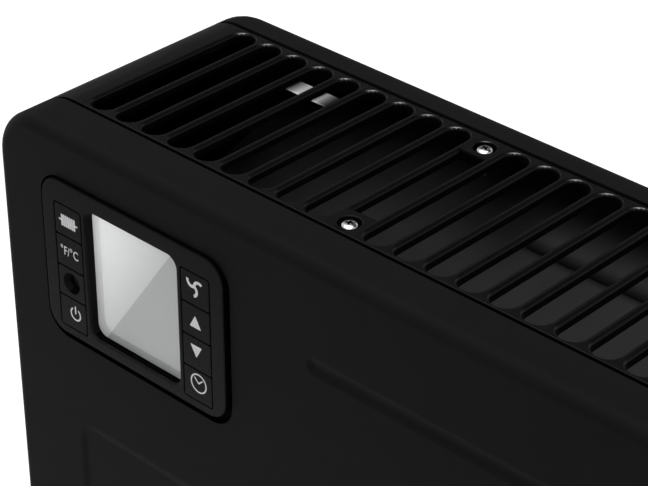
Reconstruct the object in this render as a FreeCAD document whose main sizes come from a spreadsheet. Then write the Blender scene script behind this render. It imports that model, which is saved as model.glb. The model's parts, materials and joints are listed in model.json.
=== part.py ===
import FreeCAD, Part
import os
import re
import Sketcher

# Panel convector heater, in millimetres. The origin is on the floor under the middle of the casing,
# +X runs along the heater, +Y points to its back and +Z up.

# Driving dimensions
SIZES = {
    # Casing
    "body_w": 595.4,          # width of the casing
    "body_h": 400,            # height of the casing
    "foot_rise": 40,          # floor to the underside of the casing
    "band_d": 75.5,           # depth of the middle frame's outer skin
    "shell_d": 17,            # depth of the front and rear shells
    "corner_rad": 18.5,       # corners of the casing's outline
    "bend_rad": 4.6,          # rolled edge round the front shell's face
    "rear_bend": 13.4,        # rolled edge round the rear shell's face
    "sheet_t": 1,             # shell steel
    "frame_t": 3,             # moulded frame wall
    "seam_gap": 0.6,          # open seam between frame and shell
    "lip_reach": 3.8,         # frame lip inside a shell
    "lap_gap": 0.1,           # frame lip to shell wall
    "tray_rise": 30,          # side walls of the bottom tray
    # Grille
    "slot_pitch": 12,
    "slot_w": 9,
    "slot_len": 71,
    "slot_margin": 27.5,      # side of the casing to the first slot's centre, at least
    "slot_flare": 1.2,        # flared mouth of a slot
    "screw_slot": 10,         # slot that holds the screws, counted from each side
    "seat_drop": 2.5,         # dished screw seat below the surface
    "tab_t": 1.2,             # screw seats and shell tabs
    "tab_w": 14,              # shell tab
    "tab_reach": 10.5,        # slot's end to the seat's inner edge
    "seat_gap": 0.05,         # screw seat to shell tab
    "web_gap": 1.25,          # frame lip to the shell tab's web
    "screw_rad": 1.45,        # casing screw thread
    "screw_len": 9,
    "head_rad": 2.9,          # casing screw head
    "head_h": 1.9,
    "thread_gap": 0.05,       # screw to the hole it is driven into
    "hole_gap": 0.3,          # screw to the hole it passes through
    # Pressed forms of the front shell
    "groove_inset": 141,      # side of the casing to the groove's end
    "groove_drop": 34.2,      # top of the casing to the groove's centre line
    "groove_w": 6.5,
    "groove_d": 1.5,
    "field_inset": 34,        # shallow pressed field
    "field_drop": 112,
    "field_foot": 40,
    "field_rad": 12,
    "field_d": 0.8,
    # Rear shell
    "louvre_w": 6,            # intake slots
    "louvre_len": 34,
    "louvre_pitch": 14,
    "louvre_rise": 60,        # underside of the casing to the slots' centres
    "louvre_span": 320,       # width of the row of slots
    "wall_hole_rad": 2.25,    # wall bracket holes
    "wall_hole_x": 300,
    "wall_hole_z": 120,
    "wall_hole_drop": 150,    # top of the casing to the middle of the holes
    # Control panel
    "bezel_inset": 23.7,      # side of the casing to the bezel
    "bezel_drop": 16.5,       # top of the casing to the bezel
    "bezel_proud": 1.5,
    "bezel_gap": 0.8,         # open joint round the bezel
    "bezel_rad": 8,
    "bezel_edge": 0.35,       # rounded edges of the bezel's face
    "bezel_t": 2,
    "bezel_margin": 5.85,     # beside the keys
    "bezel_top": 7.6,         # above the keys
    "bezel_foot": 3,          # below the keys
    "flange_w": 6,            # bezel flange behind the shell
    "flange_t": 1.5,
    "win_w": 42.2,            # display window
    "win_drop": 6.1,
    "win_foot": 4.2,
    "win_rad": 5,
    "win_depth": 3.3,
    "collar_t": 1,            # collar round the window
    "win_key_gap": 1.95,      # window to key column
    "lens_t": 1,
    "key_w": 13,
    "key_pitch": 12,
    "key_gap": 0.35,          # open joint round a key
    "key_rad": 0.8,
    "key_travel": 0.6,
    "key_flange_t": 1,
    "stem_rad": 2,
    "stem_len": 2.3,
    "stem_clear": 0.15,       # stem to switch with the key pressed home
    "switch_w": 6,
    "switch_h": 3,
    "eye_rad": 3.9,           # receiver hole at the bezel's face
    "eye_throat": 2.6,        # receiver hole behind
    "eye_rim": 1,             # receiver window beyond the hole
    "board_t": 1.6,
    "board_gap": 0.4,         # board to the housing walls
    "house_t": 2,             # control housing wall
    "post_len": 5,            # housing post behind the board
    "post_rad": 3,
    # Air deflector
    "guard_margin": 64,       # side of the casing to the deflector
    "guard_rear_drop": 13.6,  # top of the casing to the deflector's rear edge
    "guard_front_drop": 40,
    "guard_front_y": 18,      # middle of the casing to its front edge
    "guard_t": 0.8,
    "guard_flange": 12,
    "slit_y": 26.4,
    "slit_w": 3,
    "slit_inset": 95,         # deflector's side to the slit's end
    # Partition
    "wall_inset": 120,        # side of the casing to the partition
    "wall_t": 1,
    "wall_drop": 60,          # top of the casing to the partition's upper edge
    "wall_flange": 12,
    "wall_gap": 0.3,          # partition to tray and shell
    # Heating element
    "heat_rise": 140,         # underside of the casing to the element's axis
    "heat_gap": 34,           # partition to the left bracket
    "heat_margin": 40,        # side of the casing to the right bracket
    "rod_rad": 4,
    "rod_out": 10,            # rod beyond its bushes
    "pin_rad": 1.5,           # rod's connecting pins
    "pin_len": 12,
    "sleeve_t": 1.5,          # finned sleeve
    "fin_h": 46,
    "fin_d": 40,
    "fin_t": 1,
    "fin_pitch": 8,
    "fin_corner": 4,
    "bush_rad": 8,
    "bush_len": 12,
    "bracket_h": 34,
    "bracket_t": 1.2,
    "bracket_flange": 14,
    "fit_gap": 0.05,          # rod, bush and bracket
    # Fan
    "fan_rise": 62,           # underside of the casing to the fan's axis
    "fan_gap": 72,            # partition to the fan's left plate
    "fan_len": 220,
    "fan_rad": 22,
    "fan_side_gap": 3,        # impeller to the end plates
    "fan_plate_t": 1.2,
    "fan_front_y": 31,        # axis to the end plates' front edges
    "fan_plate_h": 34,        # axis to the end plates' upper and lower edges
    "blade_t": 1,
    "blade_w": 6,
    "blade_count": 20,
    "disc_t": 2,
    "scroll_gap": 4,          # impeller to the guide sheets
    "scroll_t": 1,
    "shaft_rad": 2.5,
    "shaft_gap": 0.05,
    "bearing_rad": 6,
    "bearing_len": 6,
    "motor_rad": 20,
    "motor_len": 40,
    "boss_rad": 8,
    "shaft_in": 16,           # shaft inside the motor
    # Power side
    "power_x": 15,            # side of the casing to the power board
    "power_gap": 10,          # power board to the partition
    "power_rise": 100,        # underside of the casing to the power board
    "power_h": 120,
    "spacer_len": 8,
    "spacer_rad": 3,
    "spacer_in": 6,           # spacer to the board's edges
    "relay_w": 20,
    "relay_h": 16,
    "relay_d": 15,
    "block_w": 50,            # terminal block
    "block_h": 18,
    "block_d": 16,
    "gland_inset": 50,        # side of the casing to the gland
    "gland_rise": 30,
    "gland_rad": 6,
    "gland_bore": 3.7,
    "gland_flange": 9.5,
    "gland_flange_t": 3,
    "gland_in": 8,
    "shelf_inset": 27,        # side of the casing to the bright bracket
    "shelf_w": 32,
    "shelf_drop": 21,
    "shelf_d": 6,
    "shelf_h": 16,
    "cutout_rad": 7,
    "cutout_len": 7,
    # Feet
    "foot_inset": 70,         # side of the casing to a foot's centre line
    "foot_w": 36,
    "foot_len": 240,
    "foot_neck": 92,          # length of the foot's upper face
    "foot_toe": 14,           # height of the foot's ends
    "pad_t": 3,
    "pad_rad": 9,
    "pad_in": 16,             # pad's centre to the foot's end
    "bolt_rad": 2.45,         # foot screw
    "bolt_head_rad": 4.6,
    "bolt_head_h": 3.2,
    "bolt_y": 24,             # middle of the casing to a foot screw
    "bolt_seat": 12,          # foot's upper face to the screw head
    "bolt_boss_rad": 6,
    "bolt_boss_h": 9,
    # Tray
    "intake_w": 8,
    "intake_len": 52,
    "intake_pitch": 14,
    "intake_gap": 20,         # casing screws to the row of intake slots
}

# Places and sizes that follow from the driving dimensions
PLACES = {
    "top_z": "foot_rise + body_h",
    "side_x": "body_w / 2",
    "rim_y": "band_d / 2 + seam_gap",
    "face_y": "rim_y + shell_d",
    "skin_y": "face_y - sheet_t",
    "lip_y": "band_d / 2 + lip_reach",
    "lap": "sheet_t + lap_gap",
    "split_z": "foot_rise + tray_rise",
    "slot_count": "floor((body_w - 2 * slot_margin) / slot_pitch) + 1",
    "slot_run": "(slot_count - 1) * slot_pitch",
    "flare": "min(slot_flare; (slot_pitch - slot_w) * 0.4)",
    "screw_x": "slot_run / 2 - (screw_slot - 1) * slot_pitch",
    "screw_y": "slot_len / 2 - slot_w / 2",
    "tab_y": "slot_len / 2 - tab_reach",
    "tab_drop": "seat_drop + tab_t + seat_gap",
    "web_y": "lip_y + web_gap",
    "seat_rad": "head_rad + hole_gap * 2",
    "bezel_w": "win_w + 2 * (win_key_gap + key_w + bezel_margin)",
    "bezel_h": "4 * key_pitch + bezel_top + bezel_foot",
    "bezel_x": "bezel_inset - side_x + bezel_w / 2",
    "bezel_z": "top_z - bezel_drop - bezel_h / 2",
    "bezel_y": "face_y + bezel_proud",
    "bezel_back": "bezel_y - bezel_t",
    "keys_z": "bezel_z + bezel_h / 2 - bezel_top",
    "key_lap": "win_key_gap - collar_t - key_gap",
    "key_column": "win_w / 2 + win_key_gap + key_w / 2",
    "win_top": "bezel_z + bezel_h / 2 - win_drop",
    "win_low": "bezel_z - bezel_h / 2 + win_foot",
    "win_y": "bezel_y - win_depth",
    "lens_back": "win_y - lens_t",
    "flange_back": "skin_y - flange_t",
    "switch_y": "bezel_back - key_gap - key_flange_t - stem_len - key_travel - stem_clear",
    "board_y": "switch_y - switch_h",
    "board_back": "board_y - board_t",
    "house_y": "board_back - post_len",
    "wall_x": "wall_inset - side_x",
    "heat_z": "foot_rise + heat_rise",
    "heat_left": "wall_x + heat_gap",
    "heat_right": "side_x - heat_margin",
    "sleeve_left": "heat_left + (bracket_t + bush_len) / 2",
    "sleeve_right": "heat_right - (bracket_t + bush_len) / 2",
    "sleeve_rad": "rod_rad + fit_gap + sleeve_t",
    "fin_count": "floor((sleeve_right - sleeve_left - 3 * fin_pitch) / fin_pitch) + 1",
    "fin_run": "(fin_count - 1) * fin_pitch",
    "fan_z": "foot_rise + fan_rise",
    "fan_low": "fan_z - fan_plate_h",
    "fan_high": "fan_z + fan_plate_h",
    "fan_left": "wall_x + fan_gap",
    "fan_start": "fan_left + fan_plate_t + fan_side_gap",
    "fan_right": "fan_start + fan_len + fan_side_gap",
    "scroll_y": "fan_rad + scroll_gap",
    "power_left": "power_x - side_x",
    "power_right": "wall_x - power_gap",
    "power_z": "foot_rise + power_rise",
    "power_back": "skin_y - spacer_len",
    "power_front": "power_back - board_t",
    "gland_x": "gland_inset - side_x",
    "gland_z": "foot_rise + gland_rise",
    "shelf_x": "shelf_inset - side_x",
    "shelf_z": "top_z - shelf_drop",
    "foot_x": "side_x - foot_inset",
    "guard_x": "side_x - guard_margin",
    "guard_rear_z": "top_z - guard_rear_drop",
    "guard_front_z": "top_z - guard_front_drop",
    "louvre_count": "floor(louvre_span / louvre_pitch) + 1",
    "louvre_run": "(louvre_count - 1) * louvre_pitch",
    "intake_count": "floor(2 * (screw_x - intake_gap) / intake_pitch) + 1",
    "intake_run": "(intake_count - 1) * intake_pitch",
}

KEYS_LEFT = {"heat_key": 0, "units_key": 1, "power_key": 3}
KEYS_RIGHT = {"fan_key": 0, "up_key": 1, "down_key": 2, "timer_key": 3}
EYE_ROW = 2

doc = FreeCAD.newDocument("convector_heater")
dims = doc.addObject("Spreadsheet::Sheet", "dims")
for row, (name, value) in enumerate(SIZES.items(), start=1):
    dims.set(f"A{row}", name)
    dims.set(f"B{row}", str(value))
    dims.setAlias(f"B{row}", name)
doc.recompute()

nodes = {}


def bound(text):
    """Write an expression with each named size pointing at its cell."""
    def swap(match):
        word = match.group(0)
        if word in SIZES:
            return "dims." + word
        if word in PLACES:
            return "(" + bound(PLACES[word]) + ")"
        return word
    return re.sub(r"[a-z][a-z_]+", swap, str(text))


def size(text):
    """Present value of an expression."""
    return float(dims.evalExpression(bound(text)))


def near(first, second):
    return abs(first - second) < 1e-5


# Sketches and features of a body

def new_body(label):
    body = doc.addObject("PartDesign::Body", label)
    nodes[label] = body
    return body


def new_sketch(body, plane, offset="0"):
    """Sketch parallel to an origin plane, at a coordinate along that plane's row axis."""
    sketch = body.newObject("Sketcher::SketchObject", body.Name + "_sketch")
    support = next(item for item in body.Origin.OriginFeatures if item.Role == plane)
    sketch.AttachmentSupport = [(support, "")]
    sketch.MapMode = "FlatFace"
    sign = "-" if plane == "XZ_Plane" else ""
    sketch.setExpression("AttachmentOffset.Base.z", bound(f"{sign}({offset})"))
    return sketch


def hold(sketch, geometry, point, across, up):
    """Hold a sketch point at two bound coordinates."""
    for kind, text in (("DistanceX", across), ("DistanceY", up)):
        number = sketch.addConstraint(Sketcher.Constraint(kind, -1, 1, geometry, point, size(text)))
        sketch.setExpression(f"Constraints[{number}]", bound(text))


def hold_radius(sketch, geometry, radius):
    number = sketch.addConstraint(Sketcher.Constraint("Radius", geometry, size(radius)))
    sketch.setExpression(f"Constraints[{number}]", bound(radius))


def flat(across, up):
    return FreeCAD.Vector(size(across), size(up), 0)


def polygon(sketch, points):
    """Closed outline of straight lines."""
    first = sketch.GeometryCount
    count = len(points)
    for index in range(count):
        start = flat(*points[index])
        end = flat(*points[(index + 1) % count])
        sketch.addGeometry(Part.LineSegment(start, end))
    for index in range(count):
        following = first + (index + 1) % count
        sketch.addConstraint(Sketcher.Constraint("Coincident", first + index, 2, following, 1))
        hold(sketch, first + index, 1, *points[index])


def circle(sketch, across, up, radius):
    shape = Part.Circle(flat(across, up), FreeCAD.Vector(0, 0, 1), size(radius))
    number = sketch.addGeometry(shape)
    hold(sketch, number, 3, across, up)
    hold_radius(sketch, number, radius)


def rounded_loop(sketch, centres, radius):
    """Closed outline of arcs about the given centres, anticlockwise, joined by tangent lines."""
    first = sketch.GeometryCount
    count = len(centres)
    spots = [flat(*centre) for centre in centres]
    reach = size(radius)
    normals = []
    for index in range(count):
        run = spots[(index + 1) % count].sub(spots[index])
        run.normalize()
        normals.append(FreeCAD.Vector(run.y, -run.x, 0).multiply(reach))
    for index, spot in enumerate(spots):
        start = spot.add(normals[index - 1])
        end = spot.add(normals[index])
        bisector = normals[index - 1].add(normals[index])
        if bisector.Length < 1e-6:
            bisector = spot.sub(spots[index - 1])
        middle = spot.add(bisector.normalize().multiply(reach))
        sketch.addGeometry(Part.Arc(start, middle, end))
        sketch.addGeometry(Part.LineSegment(end, spots[(index + 1) % count].add(normals[index])))
    for index in range(count):
        arc = first + 2 * index
        after = first + (2 * index + 2) % (2 * count)
        sketch.addConstraint(Sketcher.Constraint("Tangent", arc, 2, arc + 1, 1))
        sketch.addConstraint(Sketcher.Constraint("Tangent", arc + 1, 2, after, 1))
        hold(sketch, arc, 3, *centres[index])
        hold_radius(sketch, arc, radius)


def rounded_rectangle(sketch, low_x, high_x, low_y, high_y, radius):
    left, right = f"({low_x}) + ({radius})", f"({high_x}) - ({radius})"
    low, high = f"({low_y}) + ({radius})", f"({high_y}) - ({radius})"
    rounded_loop(sketch, [(left, low), (right, low), (right, high), (left, high)], radius)


def casing_outline(sketch, inset):
    """Rounded outline of the casing, drawn in by an even amount."""
    rounded_rectangle(sketch, f"-side_x + {inset}", f"side_x - ({inset})",
                      f"foot_rise + {inset}", f"top_z - ({inset})", f"corner_rad - ({inset})")


def feature(body, kind, sketch, length, flip=False):
    made = body.newObject("PartDesign::" + kind, body.Name + "_" + kind.lower())
    made.Profile = sketch
    made.setExpression("Length", bound(length))
    made.Reversed = flip
    return made


def pad(body, sketch, length, flip=False):
    return feature(body, "Pad", sketch, length, flip)


def pocket(body, sketch, length, flip=False):
    return feature(body, "Pocket", sketch, length, flip)


def fillet(body, choose, radius):
    """Round the edges of the body that a test picks."""
    doc.recompute()
    base = body.Tip
    names = [f"Edge{number}" for number, edge in enumerate(base.Shape.Edges, start=1) if choose(edge)]
    made = body.newObject("PartDesign::Fillet", body.Name + "_fillet")
    made.Base = (base, names)
    made.setExpression("Radius", bound(radius))
    return made


def in_plane(axis, text):
    """Test for an edge or face that lies in a plane square to an axis."""
    level = size(text)

    def test(item):
        box = item.BoundBox
        return near(getattr(box, axis + "Min"), level) and near(getattr(box, axis + "Max"), level)
    return test


def row_of(body, originals, length, count):
    """Repeat features along +X."""
    pattern = body.newObject("PartDesign::LinearPattern", body.Name + "_row")
    pattern.Originals = originals
    axis = next(item for item in body.Origin.OriginFeatures if item.Role == "X_Axis")
    pattern.Direction = (axis, [""])
    pattern.setExpression("Length", bound(length))
    pattern.setExpression("Occurrences", bound(count))
    body.Tip = pattern
    return pattern


# Primitives

def box(name, across, depth, up):
    """Block between pairs of bound coordinates."""
    block = doc.addObject("Part::Box", name)
    sides = zip(("Length", "Width", "Height"), "xyz", (across, depth, up))
    for length, axis, (low, high) in sides:
        block.setExpression(length, bound(f"({high}) - ({low})"))
        block.setExpression("Placement.Base." + axis, bound(low))
    return block


TURNS = {
    "x": FreeCAD.Rotation(FreeCAD.Vector(0, 1, 0), 90),
    "y": FreeCAD.Rotation(FreeCAD.Vector(1, 0, 0), -90),
    "z": FreeCAD.Rotation(),
}


def rod(name, axis, radius, span, centre):
    """Cylinder along an axis, between two coordinates on it."""
    made = doc.addObject("Part::Cylinder", name)
    made.setExpression("Radius", bound(radius))
    low, high = span
    made.setExpression("Height", bound(f"({high}) - ({low})"))
    made.Placement = FreeCAD.Placement(FreeCAD.Vector(), TURNS[axis])
    made.setExpression("Placement.Base." + axis, bound(low))
    for other, text in zip([letter for letter in "xyz" if letter != axis], centre):
        made.setExpression("Placement.Base." + other, bound(text))
    return made


def join(name, shapes):
    made = doc.addObject("Part::MultiFuse", name)
    made.Shapes = shapes
    return made


def cut(name, base, tools):
    made = doc.addObject("Part::Cut", name)
    made.Base = base
    made.Tool = tools[0] if len(tools) == 1 else join(name + "_tools", tools)
    return made


def group(name, shapes):
    made = doc.addObject("Part::Compound", name)
    made.Links = shapes
    return made


def node(label, made):
    made.Label = label
    nodes[label] = made
    return made


def screw(name, axis, thread, head, centre):
    """Pan-head screw: thread and head spans along the axis."""
    parts = [rod(name + "_thread", axis, thread[0], thread[1], centre)]
    parts.append(rod(name + "_head", axis, head[0], head[1], centre))
    return join(name, parts)


# Casing

def shell_tabs(body, facing):
    """Tabs that reach under the frame, where the casing screws hold the shell."""
    for edge in ("top", "low"):
        def level(drop):
            return f"top_z - ({drop})" if edge == "top" else f"foot_rise + {drop}"
        upper, lower, wall = level("tab_drop"), level("tab_drop + tab_t"), level("sheet_t / 2")
        for side in (-1, 1):
            sketch = new_sketch(body, "YZ_Plane", f"{side} * screw_x - tab_w / 2")
            web_in, web_out = f"{facing} * web_y", f"{facing} * (web_y + tab_t)"
            tip = f"{facing} * tab_y"
            polygon(sketch, [(web_out, wall), (web_out, lower), (tip, lower),
                             (tip, upper), (web_in, upper), (web_in, wall)])
            pad(body, sketch, "tab_w")
        holes = new_sketch(body, "XY_Plane", level("tab_drop - 0.5 * tab_t"))
        for side in (-1, 1):
            circle(holes, f"{side} * screw_x", f"{facing} * screw_y", "screw_rad + thread_gap")
        pocket(body, holes, "2 * tab_t", flip=(edge == "low"))


def shell(label, facing, bend):
    """Pressed pan with rounded corners and a rolled edge, open towards the frame."""
    body = new_body(label)
    sketch = new_sketch(body, "XZ_Plane", f"{facing} * rim_y")
    casing_outline(sketch, "0")
    pad(body, sketch, "shell_d", flip=(facing > 0))
    fillet(body, in_plane("Y", f"{facing} * face_y"), bend)
    doc.recompute()
    solid = body.Tip
    open_face = in_plane("Y", f"{facing} * rim_y")
    names = [f"Face{number}" for number, face in enumerate(solid.Shape.Faces, start=1) if open_face(face)]
    hollow = body.newObject("PartDesign::Thickness", label + "_wall")
    hollow.Base = (solid, names)
    hollow.setExpression("Value", bound("sheet_t"))
    hollow.Reversed = True
    shell_tabs(body, facing)
    return body


def groove_outline(sketch, grown):
    reach = "side_x - groove_inset - groove_w / 2"
    level = "top_z - groove_drop"
    rounded_loop(sketch, [(f"-({reach})", level), (reach, level)], f"groove_w / 2 + {grown}")


def field_outline(sketch, grown):
    rounded_rectangle(sketch, f"field_inset - side_x - {grown}", f"side_x - field_inset + {grown}",
                      f"foot_rise + field_foot - {grown}", f"top_z - field_drop + {grown}",
                      f"field_rad + {grown}")


def press_in(body, outline, depth):
    """Push a form of the front sheet inwards: its back stands out inside as its face sinks."""
    behind = new_sketch(body, "XZ_Plane", "-skin_y")
    outline(behind, "sheet_t")
    pad(body, behind, depth, flip=True)
    ahead = new_sketch(body, "XZ_Plane", "-face_y")
    outline(ahead, "0")
    pocket(body, ahead, depth)


def front_panel():
    body = shell("front_panel", -1, "bend_rad")
    press_in(body, groove_outline, "groove_d")
    press_in(body, field_outline, "field_d")
    opening = new_sketch(body, "XZ_Plane", "-face_y")
    panel_outline(opening, "bezel_gap", "bezel_rad + bezel_gap")
    pocket(body, opening, "2 * sheet_t")


def rear_panel():
    body = shell("rear_panel", 1, "rear_bend")
    holes = new_sketch(body, "XZ_Plane", "face_y")
    circle(holes, "gland_x", "gland_z", "gland_rad + fit_gap")
    for side in (-1, 1):
        for level in (-1, 1):
            up = f"top_z - wall_hole_drop + {level} * wall_hole_z / 2"
            circle(holes, f"{side} * wall_hole_x / 2", up, "wall_hole_rad")
    pocket(body, holes, "2 * sheet_t", flip=True)
    louvre = new_sketch(body, "XZ_Plane", "face_y")
    start = "-louvre_run / 2"
    centre = "foot_rise + louvre_rise"
    half = "(louvre_len - louvre_w) / 2"
    rounded_loop(louvre, [(start, f"{centre} - {half}"), (start, f"{centre} + {half}")], "louvre_w / 2")
    first = pocket(body, louvre, "2 * sheet_t", flip=True)
    row_of(body, [first], "louvre_run", "louvre_count")


def ring(label):
    """Closed band round the casing, with lips that reach into both shells."""
    body = new_body(label)
    for inset, reach in (("0", "band_d / 2"), ("lap", "lip_y")):
        sketch = new_sketch(body, "XZ_Plane", f"-({reach})")
        casing_outline(sketch, inset)
        casing_outline(sketch, "frame_t")
        pad(body, sketch, f"2 * ({reach})", flip=True)
    return body


def trim_ring(body, low, high):
    """Take away the part of a ring between two heights."""
    sketch = new_sketch(body, "XZ_Plane", "-2 * lip_y")
    reach = "body_w"
    polygon(sketch, [(f"-{reach}", low), (reach, low), (reach, high), (f"-{reach}", high)])
    pocket(body, sketch, "4 * lip_y")


def slot_outline(body, level, half_length, half_width, across):
    sketch = new_sketch(body, "XY_Plane", level)
    end = f"({half_length}) - ({half_width})"
    rounded_loop(sketch, [(across, f"-({end})"), (across, end)], half_width)
    return sketch


def grille_frame():
    body = ring("grille_frame")
    trim_ring(body, "foot_rise - frame_t", "split_z + seam_gap")
    start = "-slot_run / 2"
    mouth = slot_outline(body, "top_z", "slot_len / 2", "slot_w / 2", start)
    through = pocket(body, mouth, "2 * frame_t")
    wide = slot_outline(body, "top_z", "slot_len / 2 + flare", "slot_w / 2 + flare", start)
    narrow = slot_outline(body, "top_z - flare", "slot_len / 2", "slot_w / 2", start)
    flared = body.newObject("PartDesign::SubtractiveLoft", "grille_frame_flare")
    flared.Profile = wide
    flared.Sections = [narrow]
    flared.Ruled = True
    row_of(body, [through, flared], "slot_run", "slot_count")
    seats = new_sketch(body, "XY_Plane", "top_z - seat_drop")
    half = "slot_w / 2 + tab_t"
    for side in (-1, 1):
        for end in (-1, 1):
            left, right = f"{side} * screw_x - ({half})", f"{side} * screw_x + {half}"
            inner, outer = f"{end} * tab_y", f"{end} * (slot_len / 2 + tab_t)"
            polygon(seats, [(left, inner), (right, inner), (right, outer), (left, outer)])
            circle(seats, f"{side} * screw_x", f"{end} * screw_y", "screw_rad + hole_gap")
    pad(body, seats, "tab_t", flip=True)


def bottom_tray():
    body = ring("bottom_tray")
    trim_ring(body, "split_z", "top_z + frame_t")
    start = "-intake_run / 2"
    slot = slot_outline(body, "foot_rise + 2 * frame_t", "intake_len / 2", "intake_w / 2", start)
    first = pocket(body, slot, "3 * frame_t")
    row_of(body, [first], "intake_run", "intake_count")
    seats = new_sketch(body, "XY_Plane", "foot_rise + frame_t / 2")
    bosses = new_sketch(body, "XY_Plane", "foot_rise + frame_t / 2")
    counterbores = new_sketch(body, "XY_Plane", "foot_rise")
    for side in (-1, 1):
        for end in (-1, 1):
            at_screw = (f"{side} * screw_x", f"{end} * screw_y")
            at_bolt = (f"{side} * foot_x", f"{end} * bolt_y")
            circle(seats, *at_screw, "seat_rad + tab_t")
            circle(bosses, *at_bolt, "bolt_boss_rad")
            circle(counterbores, *at_screw, "seat_rad")
    pad(body, seats, "seat_drop + tab_t - frame_t / 2")
    pad(body, bosses, "bolt_boss_h + frame_t / 2")
    pocket(body, counterbores, "seat_drop", flip=True)
    holes = new_sketch(body, "XY_Plane", "foot_rise")
    for side in (-1, 1):
        for end in (-1, 1):
            circle(holes, f"{side} * screw_x", f"{end} * screw_y", "screw_rad + hole_gap")
            circle(holes, f"{side} * foot_x", f"{end} * bolt_y", "bolt_rad + thread_gap")
    pocket(body, holes, "2 * (bolt_boss_h + frame_t)", flip=True)


def casing_screws():
    """Four screws through the grille and four through the tray, into the shells' tabs."""
    rows = (("grille_screws", "top_z - seat_drop", 1), ("bottom_screws", "foot_rise + seat_drop", -1))
    for label, seat, way in rows:
        made = []
        for number, (side, end) in enumerate(((-1, -1), (1, -1), (-1, 1), (1, 1))):
            head = (seat, f"{seat} + head_h") if way > 0 else (f"{seat} - head_h", seat)
            thread = (f"{seat} - screw_len", seat) if way > 0 else (seat, f"{seat} + screw_len")
            made.append(screw(f"{label}_{number}", "z", ("screw_rad", thread), ("head_rad", head),
                              (f"{side} * screw_x", f"{end} * screw_y")))
        node(label, group(label, made))


# Control panel

def key_cell(column, row):
    """Sides of one key's place in the bezel: left, right, low and high."""
    middle = f"(bezel_x + {column} * key_column)"
    top = f"(keys_z - {row} * key_pitch)"
    return f"{middle} - key_w / 2", f"{middle} + key_w / 2", f"{top} - key_pitch", top


def panel_outline(sketch, grown, radius):
    """Rounded outline of the control panel, grown by an even amount."""
    rounded_rectangle(sketch, f"bezel_x - bezel_w / 2 - ({grown})", f"bezel_x + bezel_w / 2 + {grown}",
                      f"bezel_z - bezel_h / 2 - ({grown})", f"bezel_z + bezel_h / 2 + {grown}", radius)


def control_bezel():
    body = new_body("control_bezel")
    face = new_sketch(body, "XZ_Plane", "-bezel_y")
    panel_outline(face, "0", "bezel_rad")
    pad(body, face, "bezel_y - flange_back", flip=True)
    flange = new_sketch(body, "XZ_Plane", "-skin_y")
    panel_outline(flange, "flange_w", "bezel_rad + flange_w / 2")
    pad(body, flange, "flange_t", flip=True)
    cavity = new_sketch(body, "XZ_Plane", "-bezel_back")
    panel_outline(cavity, "-bezel_t", "bezel_rad - bezel_t")
    pocket(body, cavity, "2 * bezel_t + flange_t")
    collar = new_sketch(body, "XZ_Plane", "-(bezel_back + bezel_t / 2)")
    window = ("bezel_x - win_w / 2", "bezel_x + win_w / 2", "win_low", "win_top")
    rounded_rectangle(collar, f"{window[0]} - collar_t", f"{window[1]} + collar_t",
                      f"{window[2]} - collar_t", f"{window[3]} + collar_t", "win_rad + collar_t")
    pad(body, collar, "bezel_back + bezel_t / 2 - win_y", flip=True)
    openings = new_sketch(body, "XZ_Plane", "-bezel_y")
    rounded_rectangle(openings, *window, "win_rad")
    for column, first, last in ((-1, 0, 1), (-1, 3, 3), (1, 0, 3)):
        left, right, low, _ = key_cell(column, last)
        high = key_cell(column, first)[3]
        rounded_rectangle(openings, left, right, f"{low} - key_gap / 2", f"{high} + key_gap / 2",
                          "key_rad")
    pocket(body, openings, "win_depth + bezel_t")
    eye = new_sketch(body, "XZ_Plane", "-bezel_y")
    eye_z = f"keys_z - {EYE_ROW + 0.5} * key_pitch"
    circle(eye, "bezel_x - key_column", eye_z, "eye_rad")
    throat = new_sketch(body, "XZ_Plane", "-bezel_back")
    circle(throat, "bezel_x - key_column", eye_z, "eye_throat")
    funnel = body.newObject("PartDesign::SubtractiveLoft", "control_bezel_eye")
    funnel.Profile = eye
    funnel.Sections = [throat]
    screw_holes = new_sketch(body, "XZ_Plane", "-skin_y")
    for across, up in control_screw_places():
        circle(screw_holes, across, up, "screw_rad + thread_gap")
    pocket(body, screw_holes, "2 * flange_t")
    fillet(body, in_plane("Y", "-bezel_y"), "bezel_edge")


def control_screw_places():
    """Middle of the flange at each side of the bezel, near its corners."""
    places = []
    for side in (-1, 1):
        for level in (-1, 1):
            across = f"bezel_x + {side} * (bezel_w + flange_w) / 2"
            places.append((across, f"bezel_z + {level} * bezel_h / 4"))
    return places


def keys():
    """Keys with a flange behind the bezel and a stem in front of each switch."""
    columns = [(-1, label, row) for label, row in KEYS_LEFT.items()]
    columns += [(1, label, row) for label, row in KEYS_RIGHT.items()]
    switches = []
    for column, label, row in columns:
        body = new_body(label)
        left, right, low, high = key_cell(column, row)
        cap = new_sketch(body, "XZ_Plane", "-bezel_y")
        span = (f"{low} + key_gap / 2", f"{high} - key_gap / 2", "key_rad - key_gap / 2")
        rounded_rectangle(cap, f"{left} + key_gap", f"{right} - key_gap", *span)
        pad(body, cap, "bezel_t + key_gap", flip=True)
        flange = new_sketch(body, "XZ_Plane", "-(bezel_back - key_gap)")
        rounded_rectangle(flange, f"{left} - key_lap", f"{right} + key_lap", *span)
        pad(body, flange, "key_flange_t", flip=True)
        stem = new_sketch(body, "XZ_Plane", "-(bezel_back - key_gap - key_flange_t)")
        middle = (f"bezel_x + {column} * key_column", f"keys_z - {row + 0.5} * key_pitch")
        circle(stem, *middle, "stem_rad")
        pad(body, stem, "stem_len", flip=True)
        across, up = [(f"{place} - switch_w / 2", f"{place} + switch_w / 2") for place in middle]
        switches.append(box(f"switch_{label}", across, ("-switch_y", "-board_y"), up))
    node("key_switches", group("key_switches", switches))


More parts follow.
